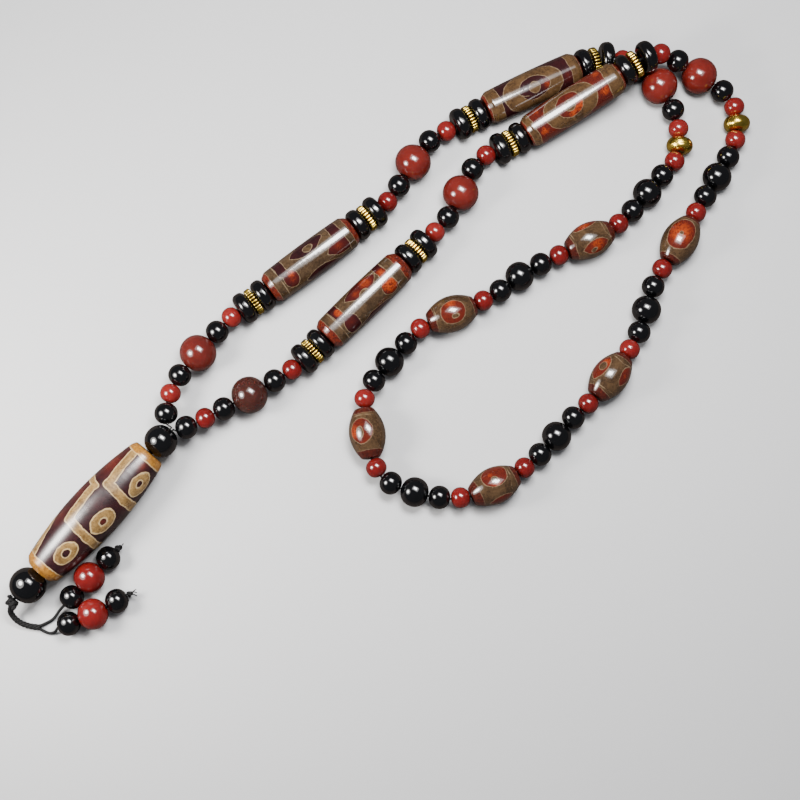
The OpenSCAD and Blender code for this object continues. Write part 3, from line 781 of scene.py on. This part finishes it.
def patterned_stone(node, pattern, material):
    """A turned stone with its etched pattern as distances on its corners."""
    places, faces, s, angle, radius, half = stone_surface(node)
    mesh = make_mesh("etched_" + node, places, faces)
    field = np.full(len(s), FAR)
    for action, *shape in pattern["strokes"]:
        away = away_from(shape, s, angle, radius)
        field = np.minimum(field, away) if action == "add" else np.maximum(field, -away)
    seam = np.full(len(s), FAR)
    for line in pattern.get("seams", []):
        seam = np.minimum(seam, away_from(("band", 0.0) + line, s, angle, radius))
    glow = np.full(len(s), pattern.get("warmth", 0.0))
    for place, turn, size, strength in pattern.get("glows", []):
        away = away_from(("oval", place, turn, size, size), s, angle, radius)
        glow = np.maximum(glow, strength * np.clip(-away / size, 0, 1))
    low_end, high_end = pattern["ends"]
    add_number(mesh, "field", field)
    add_number(mesh, "seam", seam)
    add_number(mesh, "glow", glow)
    add_number(mesh, "end", np.minimum(s + half - low_end, half - high_end - s))
    mesh.materials.append(material)
    fit_piece(make_object(mesh.name, mesh), "dzi", node)


# Patterns, in mm along each stone from its middle and degrees around it from the top, laid in order
PENDANT_PATTERN = {
    "ends": (4.0, 3.0),
    "strokes": [
        ("add", "ring", -28.5, -24), ("add", "ring", 25, 28.5),
        ("add", "band", 3.0, (26, 24), (18, 16), (11, 8)),
        ("add", "band", 3.2, (11, 9), (10.2, -40), (10, -90), (11, -130)),
        ("add", "band", 3.0, (6.6, 32), (0, 26), (-7, 20)),
        ("add", "band", 2.9, (-7, 20), (-7.8, -30), (-8, -90), (-7, -130)),
        ("add", "band", 2.2, (7.2, 26), (8.4, 62)),
        ("add", "band", 2.8, (-7.5, 82), (-14, 60), (-24, 44)),
        ("add", "band", 2.4, (21.5, 76), (12, 86)),
        ("add", "band", 3.0, (11, -130), (0, -140), (-7, -130)),
        ("add", "band", 3.0, (12, 88), (9, 130), (-7.5, 84)),
        ("add", "oval", 17.6, -52, 4.7, 3.4), ("cut", "oval", 17.8, -50, 1.5, 1.2),
        ("add", "oval", 0, -41, 5.2, 3.7), ("cut", "oval", 0, -41, 1.8, 1.4),
        ("add", "oval", -16.3, -30, 4.6, 3.3), ("cut", "oval", -16.3, -30, 1.8, 1.4),
        ("add", "oval", 17, 170, 4.7, 3.4), ("cut", "oval", 17, 170, 1.5, 1.2),
        ("add", "oval", 0, 172, 5.0, 3.6), ("cut", "oval", 0, 172, 1.8, 1.4),
        ("add", "oval", -16, 168, 4.6, 3.3), ("cut", "oval", -16, 168, 1.8, 1.4),
    ],
    "glows": [(17, 52, 9, 1.2), (2, 62, 8, 0.9), (-8, 50, 6, 0.8), (23, -20, 3, 1.5), (0, -41, 2, 1.1)],
}
LONG_PATTERNS = {
    "long_dzi_1": {
        "ends": (2.1, 2.1),
        "strokes": [
            ("add", "ring", -20, 20),
            ("cut", "band", 3.8, (-12, 95), (-12, 40), (-12, 5)), ("cut", "oval", -10.4, -30, 2.9, 3.6),
            ("cut", "band", 4.0, (12.3, 95), (12.3, 40), (12.3, 5)), ("cut", "lens", 12.4, -34, 6.8, 3.6),
            ("add", "ring", 14.4, 20),
            ("cut", "lens", 0.6, 32, 7.6, 3.6, 4), ("add", "oval", 0.8, 22, 2.0, 1.35),
            ("cut", "lens", 2.8, -86, 9.0, 3.7, -14),
            ("cut", "lens", 0, 150, 7.6, 3.6), ("add", "oval", 0, 150, 2.0, 1.3),
            ("cut", "oval", -11.5, 150, 2.6, 3.4), ("cut", "oval", 11.5, 150, 2.6, 3.4),
            ("cut", "oval", -10.5, -140, 2.8, 3.4),
        ],
        "seams": [((-14, -179), (-14, 0), (-14, 179)), ((14.4, -179), (14.4, 0), (14.4, 179))],
        "glows": [(-9.6, -15, 2.4, 1.9), (-10, -34, 5.5, 0.85), (10.5, -34, 7, 0.85)],
    },
    "long_dzi_2": {
        "pale": True,
        "ends": (0.9, 0.7),
        "warmth": 0.05,
        "strokes": [
            ("add", "ring", -20, -14.2), ("add", "ring", 14.7, 20),
            ("add", "oval", -1, -22, 11.8, 8.8), ("cut", "lens", -0.4, -19, 6.5, 4.5),
            ("add", "oval", -0.4, -20, 2.1, 2.1),
            ("add", "oval", 0, 158, 11.4, 8.4), ("cut", "lens", 0, 158, 6.4, 4.4),
            ("add", "oval", 0, 158, 2.1, 2.1),
        ],
        "seams": [((-1.2, -45), (-5.6, -32), (-7.2, -18))],
        "glows": [(4.6, -27, 3.4, 1.2), (13, -30, 3, 0.7)],
    },
    "long_dzi_3": {
        "pale": True,
        "ends": (0.8, 1.1),
        "warmth": 0.72,
        "strokes": [
            ("add", "ring", -21, -17), ("add", "ring", 13.8, 21),
            ("add", "oval", -1.7, -12, 10.6, 8.5), ("cut", "oval", -2.1, -8, 5.2, 4.7),
            ("add", "oval", -2.2, -12, 2.1, 2.0),
            ("add", "oval", 0, 168, 10.8, 8.4), ("cut", "oval", 0, 168, 5.2, 4.6),
            ("add", "oval", 0, 168, 2.0, 2.0),
        ],
        "seams": [((-6.6, -30), (-8.6, -10), (-7, 22))],
        "glows": [(-14.6, -40, 3.0, 1.9), (1.6, -30, 3.8, 2.8), (-2.2, -38, 3.2, 2.2), (11.6, -32, 3.4, 1.9),
                  (11.9, 40, 3.4, 1.6), (-13.7, 37, 3.2, 1.4)],
    },
    "long_dzi_4": {
        "ends": (2.8, 3.6),
        "warmth": 0.1,
        "strokes": [
            ("add", "ring", -21, 21),
            ("cut", "band", 3.8, (-11.8, 95), (-11.8, 40), (-11.6, 4)), ("cut", "oval", -9.8, -40, 3.0, 4.2),
            ("cut", "band", 3.4, (10.6, 95), (10.6, 40), (10.4, 4)), ("cut", "oval", 9.4, -36, 3.2, 3.4),
            ("cut", "lens", 1.0, 30, 7.4, 3.7), ("add", "oval", 0.9, 6, 2.0, 1.3),
            ("cut", "lens", 1.6, -90, 9.0, 3.4, -9),
            ("cut", "lens", 0, 155, 7.4, 3.6), ("add", "oval", 0, 155, 2.0, 1.3),
            ("cut", "oval", -11, 152, 2.8, 3.4), ("cut", "oval", 10, 150, 2.6, 3.4),
            ("cut", "oval", 9.5, -140, 2.8, 3.4),
        ],
        "seams": [((-14, -179), (-14, 0), (-14, 179)), ((12.4, -179), (12.4, 0), (12.4, 179))],
        "glows": [(-10.8, 20, 2.5, 2.6), (9.8, -32, 4.4, 3.0), (3.8, 34, 5.0, 1.5), (-1.5, 24, 5.5, 0.95),
                  (10.4, 16, 3.4, 1.6), (-9.8, -34, 4.0, 0.7)],
    },
}

# Each of these lies on a tan field that covers the whole stone
OVAL_PATTERNS = {
    "oval_dzi_1": {
        "ends": (2.2, 2.6),
        "strokes": [
            ("cut", "lens", -0.3, 55, 4.8, 2.6), ("cut", "lens", 0, -40, 5.1, 2.7),
            ("add", "oval", -1.2, -49, 1.2, 0.8, 20), ("cut", "lens", 0, 165, 4.6, 2.8),
        ],
        "glows": [(-0.8, 52, 4.5, 1.9), (0.6, -36, 5.0, 1.8)],
        "seams": [((-6.0, 60), (-6.4, 4), (-7.2, -40)), ((5.6, 50), (5.2, -7), (7.0, -45))],
    },
    "oval_dzi_2": {
        "ends": (2.4, 1.4),
        "strokes": [
            ("cut", "oval", 0, -7, 4.5, 4.5), ("cut", "oval", 0, 170, 4.4, 4.2),
            ("add", "oval", 0, 170, 1.2, 1.2), ("add", "oval", 0.4, -22, 1.3, 0.9),
        ],
        "seams": [((-5.6, 80), (-6.4, -5), (-6.2, -60))],
        "glows": [(0.2, 24, 3.8, 1.9)],
    },
    "oval_dzi_3": {
        "ends": (2.1, 2.6),
        "strokes": [
            ("cut", "oval", -0.4, -18, 4.5, 4.3), ("add", "oval", 0, -22, 2.1, 1.3),
            ("cut", "oval", 0, 165, 4.4, 4.2), ("add", "oval", 0, 165, 1.8, 1.2),
        ],
        "seams": [((-5.8, 60), (-6.2, -20), (-5.8, -90))],
        "glows": [(-0.4, -48, 4.0, 2.4)],
    },
    "oval_dzi_4": {
        "ends": (3.0, 1.8),
        "strokes": [
            ("cut", "oval", 0.9, 30, 4.7, 4.5), ("add", "oval", 0.3, 13, 1.2, 1.2),
            ("cut", "lens", 0, -62, 4.4, 2.0), ("cut", "oval", 0, 175, 4.2, 3.6),
        ],
        "seams": [((5.9, 70), (6.2, 10), (4.6, -45))],
        "glows": [(0.3, 2, 3.2, 1.9), (-0.4, 34, 2.6, 1.3)],
    },
    "oval_dzi_5": {
        "ends": (2.4, 1.8),
        "strokes": [
            ("cut", "lens", 0, 50, 5.2, 3.2), ("add", "oval", 0.6, 42, 1.6, 1.5),
            ("cut", "lens", 2.2, -43, 4.2, 2.3), ("cut", "lens", 0, 170, 4.8, 3.0),
        ],
        "seams": [((-5.4, 70), (-6.0, 0), (-5.2, -60)), ((6.2, 40), (5.4, -10), (6.4, -50))],
        "glows": [(2.0, 40, 4.0, 1.9), (2.0, -40, 3.0, 1.0)],
    },
    "oval_dzi_6": {
        "ends": (1.4, 1.6),
        "strokes": [
            ("cut", "oval", 0.5, 10, 6.2, 5.0), ("add", "oval", 0.5, 10, 0.7, 0.7),
            ("cut", "oval", 0, -170, 5.4, 4.6), ("add", "oval", 0, -170, 0.8, 0.8),
        ],
        "glows": [(0.5, 12, 7.5, 2.1)],
    },
}

# Colours of the etched stones, by the names that the etched pattern gives them
LONG_SHADES = {
    "Ground": (0.022, 0.0042, 0.005), "Dark Ground": (0.009, 0.0025, 0.003), "Warm": (0.060, 0.0060, 0.0036),
    "Bright Warm": (0.25, 0.034, 0.005), "Field": (0.058, 0.034, 0.017), "Dark Field": (0.022, 0.012, 0.006),
    "Line": (0.19, 0.138, 0.082), "End": (0.036, 0.0048, 0.0032), "Bright End": (0.110, 0.014, 0.0055),
}
PALE_SHADES = {**LONG_SHADES, "Field": (0.086, 0.046, 0.0185), "Dark Field": (0.033, 0.016, 0.0068)}
OVAL_SHADES = {
    "Ground": (0.040, 0.006, 0.0045), "Dark Ground": (0.016, 0.0035, 0.003), "Warm": (0.075, 0.0075, 0.004),
    "Bright Warm": (0.24, 0.033, 0.005), "Field": (0.068, 0.038, 0.018), "Dark Field": (0.024, 0.0125, 0.006),
    "Line": (0.18, 0.125, 0.075), "End": (0.022, 0.0045, 0.003), "Bright End": (0.060, 0.009, 0.005),
}
PENDANT_SHADES = {
    "Ground": (0.026, 0.0050, 0.006), "Dark Ground": (0.008, 0.0022, 0.003), "Warm": (0.046, 0.0060, 0.004),
    "Bright Warm": (0.12, 0.017, 0.008), "Field": (0.27, 0.162, 0.055), "Dark Field": (0.085, 0.043, 0.012),
    "Line": (0.42, 0.30, 0.15), "End": (0.15, 0.056, 0.006), "Bright End": (0.29, 0.128, 0.016),
}


class NECKLACE_OT_long_dzi(NecklaceStep, bpy.types.Operator):
    """Turn the four long dzi and etch their patterns"""
    bl_idname = "necklace.long_dzi"
    bl_label = "Long Dzi"

    def execute(self, context):
        finish = {"line_width": 0.10, "line_strength": 0.7, "gloss": 0.11}
        dark = dzi_material("Etched long dzi", LONG_SHADES, **finish)
        pale = dzi_material("Pale etched long dzi", PALE_SHADES, **finish)
        for node, pattern in LONG_PATTERNS.items():
            patterned_stone(node, pattern, pale if pattern.get("pale") else dark)
        return {"FINISHED"}


class NECKLACE_OT_oval_dzi(NecklaceStep, bpy.types.Operator):
    """Turn the six oval dzi and etch their eyes"""
    bl_idname = "necklace.oval_dzi"
    bl_label = "Oval Dzi"

    def execute(self, context):
        material = dzi_material(
            "Etched oval dzi", OVAL_SHADES, line_width=0.11, line_strength=0.65, gloss=0.10)
        for node, pattern in OVAL_PATTERNS.items():
            strokes = [("add", "ring", -10, 10), *pattern["strokes"]]
            patterned_stone(node, {"warmth": 0.7, **pattern, "strokes": strokes}, material)
        return {"FINISHED"}


class NECKLACE_OT_pendant(NecklaceStep, bpy.types.Operator):
    """Turn the long three-eyed pendant stone and etch its pattern"""
    bl_idname = "necklace.pendant"
    bl_label = "Pendant"

    def execute(self, context):
        material = dzi_material(
            "Etched pendant dzi", PENDANT_SHADES, line_width=0.19, line_strength=0.8, gloss=0.25)
        patterned_stone("pendant_dzi", PENDANT_PATTERN, material)
        return {"FINISHED"}


def braid_tree(name):
    """Braids or twists plies along a path. Crossing is 1 for a round braid and 0 for a plain twist."""
    tree, given = node_group(name, "GeometryNodeTree", {
        "Geometry": ("Geometry",), "Plies": ("Int", 8), "Ply Radius": ("Float", 0.3 * MM),
        "Core Radius": ("Float", 0.6 * MM), "Turn Length": ("Float", 6 * MM), "Crossing": ("Float", 1.0),
        "Step": ("Float", 0.16 * MM), "Sides": ("Int", 7), "Finish": ("Material",)},
        {"Geometry": ("Geometry",)})

    def vector_maths(operation, inputs):
        return add(tree, "ShaderNodeVectorMath", inputs, operation=operation).outputs["Vector"]

    path = add(tree, "GeometryNodeMeshToCurve", {"Mesh": given["Geometry"]})
    smooth = add(tree, "GeometryNodeCurveSplineType", {"Curve": path.outputs["Curve"]},
                 spline_type="CATMULL_ROM")
    even = add(tree, "GeometryNodeResampleCurve", {"Curve": smooth.outputs["Curve"], "Length": given["Step"]},
               mode="LENGTH")
    plies = add(tree, "GeometryNodeDuplicateElements", {
        "Geometry": even.outputs["Curve"], "Amount": given["Plies"]}, domain="SPLINE")
    index = Value(plies.outputs["Duplicate Index"])
    length = Value(add(tree, "GeometryNodeSplineParameter").outputs["Length"])
    turned = length / given["Turn Length"] * FULL_TURN
    hand = (index.maths("MODULO", 2) * given["Crossing"]).maths("MULTIPLY_ADD", -2, 1)
    angle = turned * hand + index / given["Plies"] * FULL_TURN
    wave = (turned * (given["Plies"] * 0.5)).maths("SINE")
    over = wave * hand * (given["Crossing"] * given["Ply Radius"])
    out_by = given["Core Radius"] + over * 0.55

    normal = add(tree, "GeometryNodeInputNormal").outputs["Normal"]
    tangent = add(tree, "GeometryNodeInputTangent").outputs["Tangent"]
    across = vector_maths("CROSS_PRODUCT", {0: tangent, 1: normal})
    first = vector_maths("SCALE", {0: normal, "Scale": angle.maths("COSINE") * out_by})
    second = vector_maths("SCALE", {0: across, "Scale": angle.maths("SINE") * out_by})
    laid = add(tree, "GeometryNodeSetPosition", {
        "Geometry": plies.outputs["Geometry"], "Offset": vector_maths("ADD", {0: first, 1: second})})
    ring = add(tree, "GeometryNodeCurvePrimitiveCircle", {
        "Resolution": given["Sides"], "Radius": given["Ply Radius"]})
    tubes = add(tree, "GeometryNodeCurveToMesh", {
        "Curve": laid.outputs["Geometry"], "Profile Curve": ring.outputs["Curve"], "Fill Caps": True})
    return put_out_real(tree, tubes.outputs["Mesh"], given["Finish"])


# Each lay of a cord: its plies, a ply's share of the thickness, and its inset from the edge in ply radii
BRAID = {"Plies": 8, "Crossing": 1.0, "Sides": 7}, 0.148, 1.5
TWIST = {"Plies": 3, "Crossing": 0.0, "Sides": 8}, 0.25, 1


def laid_cord(path, thickness, lay, turn_length):
    """Corners and faces of a braided or twisted cord along a path in mm."""
    points = bpy.data.meshes.new("cord path")
    edges = [(k, k + 1) for k in range(len(path) - 1)]
    points.from_pydata([tuple(c * MM for c in p) for p in path], edges, [])
    piece = make_object("cord path", points)
    plies, share, inset = lay
    ply = thickness * MM * share
    run_tree(piece, group_named("Braided cord", braid_tree), {
        **plies, "Ply Radius": ply, "Core Radius": thickness * MM / 2 - ply * inset,
        "Turn Length": turn_length * MM, "Step": max(thickness, 0.5) * 0.08 * MM})
    faces = [tuple(f.vertices) for f in piece.data.polygons]
    places = corner_places(piece.data)
    bpy.data.objects.remove(piece)
    return places, faces


def cord_piece(name, node, parts, material):
    """One piece of all the parts of a cord node."""
    places, faces, count = [], [], 0
    for own_places, own_faces in parts:
        places.append(own_places)
        faces += [tuple(k + count for k in f) for f in own_faces]
        count += len(own_places)
    mesh = make_mesh(name, np.vstack(places), faces)
    mesh.materials.append(material)
    fit_piece(make_object(name, mesh), "cord", node)


def knot_path(centre, size, thick):
    """Closed-looking overhand knot whose loops lie within the given size, in mm."""
    turn = np.linspace(0.15, FULL_TURN - 0.1, 40)
    reach = (size - thick) / 2
    loops = np.column_stack([np.sin(turn) + 2 * np.sin(2 * turn), np.cos(turn) - 2 * np.cos(2 * turn),
                             -1.6 * np.sin(3 * turn)]) / 3
    return [tuple(np.array(centre) + reach * p) for p in loops]


def coil_path(centre, axis, radius, pitch, turns):
    """Wraps around an axis, in mm, from one end of the knot to the other."""
    axis = unit(axis)
    side = unit(np.cross(UP, axis))
    rise = np.cross(axis, side)
    turn = np.linspace(0, FULL_TURN * turns, int(20 * turns))
    run = (turn / FULL_TURN - turns / 2) * pitch
    return [tuple(np.array(centre) + axis * r + radius * (math.cos(t) * rise + math.sin(t) * side))
            for t, r in zip(turn, run)]


# Paths and thicknesses of the bare cord, the two strands, the knots and the loose ends, in mm
STRAND_THICKNESS = 1.15
END_KNOT_THICKNESS = 0.85
LOOSE_THICKNESS = 0.4
KNOT_THICKNESS = 1.55
KNOT_PLACE = (-132.35, -99.05, 8.6)
KNOT_AXIS = (-0.75, 0.66, 0)
TAIL_PATH = [(-132.9, -100.6, 7.2), (-133.6, -102.6, 4.6), (-131.6, -105.5, 2.1), (-128.1, -107.0, 1.3),
             (-124.0, -107.5, 1.3)]
STRAND_PATHS = [
    [(-124.6, -107.2, 1.4), (-122.4, -106.2, 1.1), (-119.6, -104.5, 1.0), (-117.1, -101.5, 2.4),
     (-115.1, -99.8, 4.1), (-112.6, -97.0, 4.3), (-109.4, -93.5, 4.9), (-106.4, -90.2, 5.5),
     (-103.3, -86.8, 4.9), (-100.2, -83.3, 4.3), (-97.6, -80.5, 4.0)],
    [(-124.6, -107.8, 1.4), (-121.1, -109.5, 0.9), (-118.6, -109.0, 1.8), (-116.8, -107.6, 4.1),
     (-113.3, -106.2, 4.3), (-108.9, -104.6, 4.9), (-104.7, -102.9, 5.5), (-100.7, -100.6, 4.9),
     (-96.7, -98.3, 4.3), (-93.3, -96.4, 3.9)],
]
UPPER_END = (-97.0, -79.8, 3.3)
LOWER_END = (-92.4, -95.9, 3.2)
END_KNOTS = [(UPPER_END, 3.0), (LOWER_END, 2.6)]
LOOSE_ENDS = [
    [LOWER_END, (-91.0, -94.9, 3.7), (-90.0, -94.3, 4.4)],
    [LOWER_END, (-91.0, -96.0, 3.5), (-89.8, -96.6, 3.4)],
    [LOWER_END, (-91.2, -95.2, 2.8), (-90.1, -95.4, 2.3)],
    [UPPER_END, (-95.7, -78.9, 3.8), (-95.1, -78.2, 4.4)],
]


class NECKLACE_OT_cords(NecklaceStep, bpy.types.Operator):
    """Braid the cord below the pendant, twist its strands and tie the knots"""
    bl_idname = "necklace.cords"
    bl_label = "Cords and Knots"

    def execute(self, context):
        material = material_for("cord", self.settings)
        for node in ("loop_thread", "pendant_cord"):
            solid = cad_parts[node]
            solid.data.materials.clear()
            solid.data.materials.append(material)
        parts = [laid_cord(TAIL_PATH, self.settings.cord_thickness / MM, BRAID, 5.5)]
        parts += [laid_cord(path, STRAND_THICKNESS, TWIST, 1.9) for path in STRAND_PATHS]
        cord_piece("braided_tassel_cord", "tassel_cord", parts, material)

        coil = coil_path(KNOT_PLACE, KNOT_AXIS, radius=1.15, pitch=1.45, turns=2.9)
        parts = [laid_cord(coil, KNOT_THICKNESS, BRAID, 4.4)]
        parts += [laid_cord(knot_path(centre, size, END_KNOT_THICKNESS), END_KNOT_THICKNESS, TWIST, 1.8)
                  for centre, size in END_KNOTS]
        parts += [laid_cord(path, LOOSE_THICKNESS, TWIST, 1.2) for path in LOOSE_ENDS]
        cord_piece("tied_knots", "knots", parts, material)
        return {"FINISHED"}


def facing(place, aim):
    return (Vector(aim) - Vector(place)).to_track_quat("-Z", "Y").to_euler()


def area_light(name, place, shape, size, brightness, warmth):
    """A flat lamp of a given brightness, whatever its size, that faces the middle of the ground."""
    lamp = bpy.data.lights.new(name, "AREA")
    lamp.shape = shape
    lamp.size = size[0]
    if shape == "RECTANGLE":
        lamp.size_y = size[1]
    area = size[0] * size[1] * (math.pi / 4 if shape == "DISK" else 1)
    lamp.energy = brightness * math.pi * area
    lamp.color = warmth
    light = make_object(name, lamp)
    light.location = place
    light.rotation_euler = facing(place, (0, 0, 0))
    light.visible_camera = False


class NECKLACE_OT_stage(NecklaceStep, bpy.types.Operator):
    """Set the pale floor, the soft lights and the camera"""
    bl_idname = "necklace.stage"
    bl_label = "Floor, Lights and Camera"

    def execute(self, context):
        scene = bpy.context.scene
        camera = make_object("Camera", bpy.data.cameras.new("Camera"))
        camera.data.lens = CAMERA_LENS
        camera.data.sensor_width = SENSOR_WIDTH
        camera.data.clip_start = 0.01
        camera.location = CAMERA_PLACE
        camera.rotation_euler = facing(CAMERA_PLACE, CAMERA_AIM)
        scene.camera = camera

        corners = [(x * FLOOR_HALF, y * FLOOR_HALF, 0) for x, y in ((-1, -1), (1, -1), (1, 1), (-1, 1))]
        floor = make_object("floor", make_mesh("floor", corners, [(0, 1, 2, 3)]))
        floor.data.materials.append(floor_material(self.settings))

        for lamp in LAMPS:
            area_light(*lamp)
        world = scene.world or bpy.data.worlds.new("World")
        scene.world = world
        world.use_nodes = True
        background = world.node_tree.nodes["Background"]
        background.inputs["Color"].default_value = SKY_COLOUR
        background.inputs["Strength"].default_value = SKY_STRENGTH
        return {"FINISHED"}


class NECKLACE_PT_panel(bpy.types.Panel):
    """Lists the necklace's steps in the sidebar"""
    bl_idname = "NECKLACE_PT_panel"
    bl_label = "Dzi Bead Necklace"
    bl_space_type = "VIEW_3D"
    bl_region_type = "UI"
    bl_category = "Necklace"

    def draw(self, context):
        for name in NecklaceSettings.__annotations__:
            self.layout.prop(context.scene.necklace, name)
        for step in STEPS:
            self.layout.operator(step.bl_idname)


STEPS = (NECKLACE_OT_stage, NECKLACE_OT_round_beads, NECKLACE_OT_discs_and_rings, NECKLACE_OT_long_dzi,
         NECKLACE_OT_oval_dzi, NECKLACE_OT_pendant, NECKLACE_OT_cords)
CLASSES = (NecklaceSettings,) + STEPS + (NECKLACE_PT_panel,)


def register():
    for item in CLASSES:
        bpy.utils.register_class(item)
    bpy.types.Scene.necklace = PointerProperty(type=NecklaceSettings)


def unregister():
    del bpy.types.Scene.necklace
    for item in reversed(CLASSES):
        bpy.utils.unregister_class(item)


def main():
    register()
    bpy.ops.necklace.stage()
    bpy.ops.necklace.round_beads()
    bpy.ops.necklace.discs_and_rings()
    bpy.ops.necklace.long_dzi()
    bpy.ops.necklace.oval_dzi()
    bpy.ops.necklace.pendant()
    bpy.ops.necklace.cords()


if __name__ == "__main__":
    main()
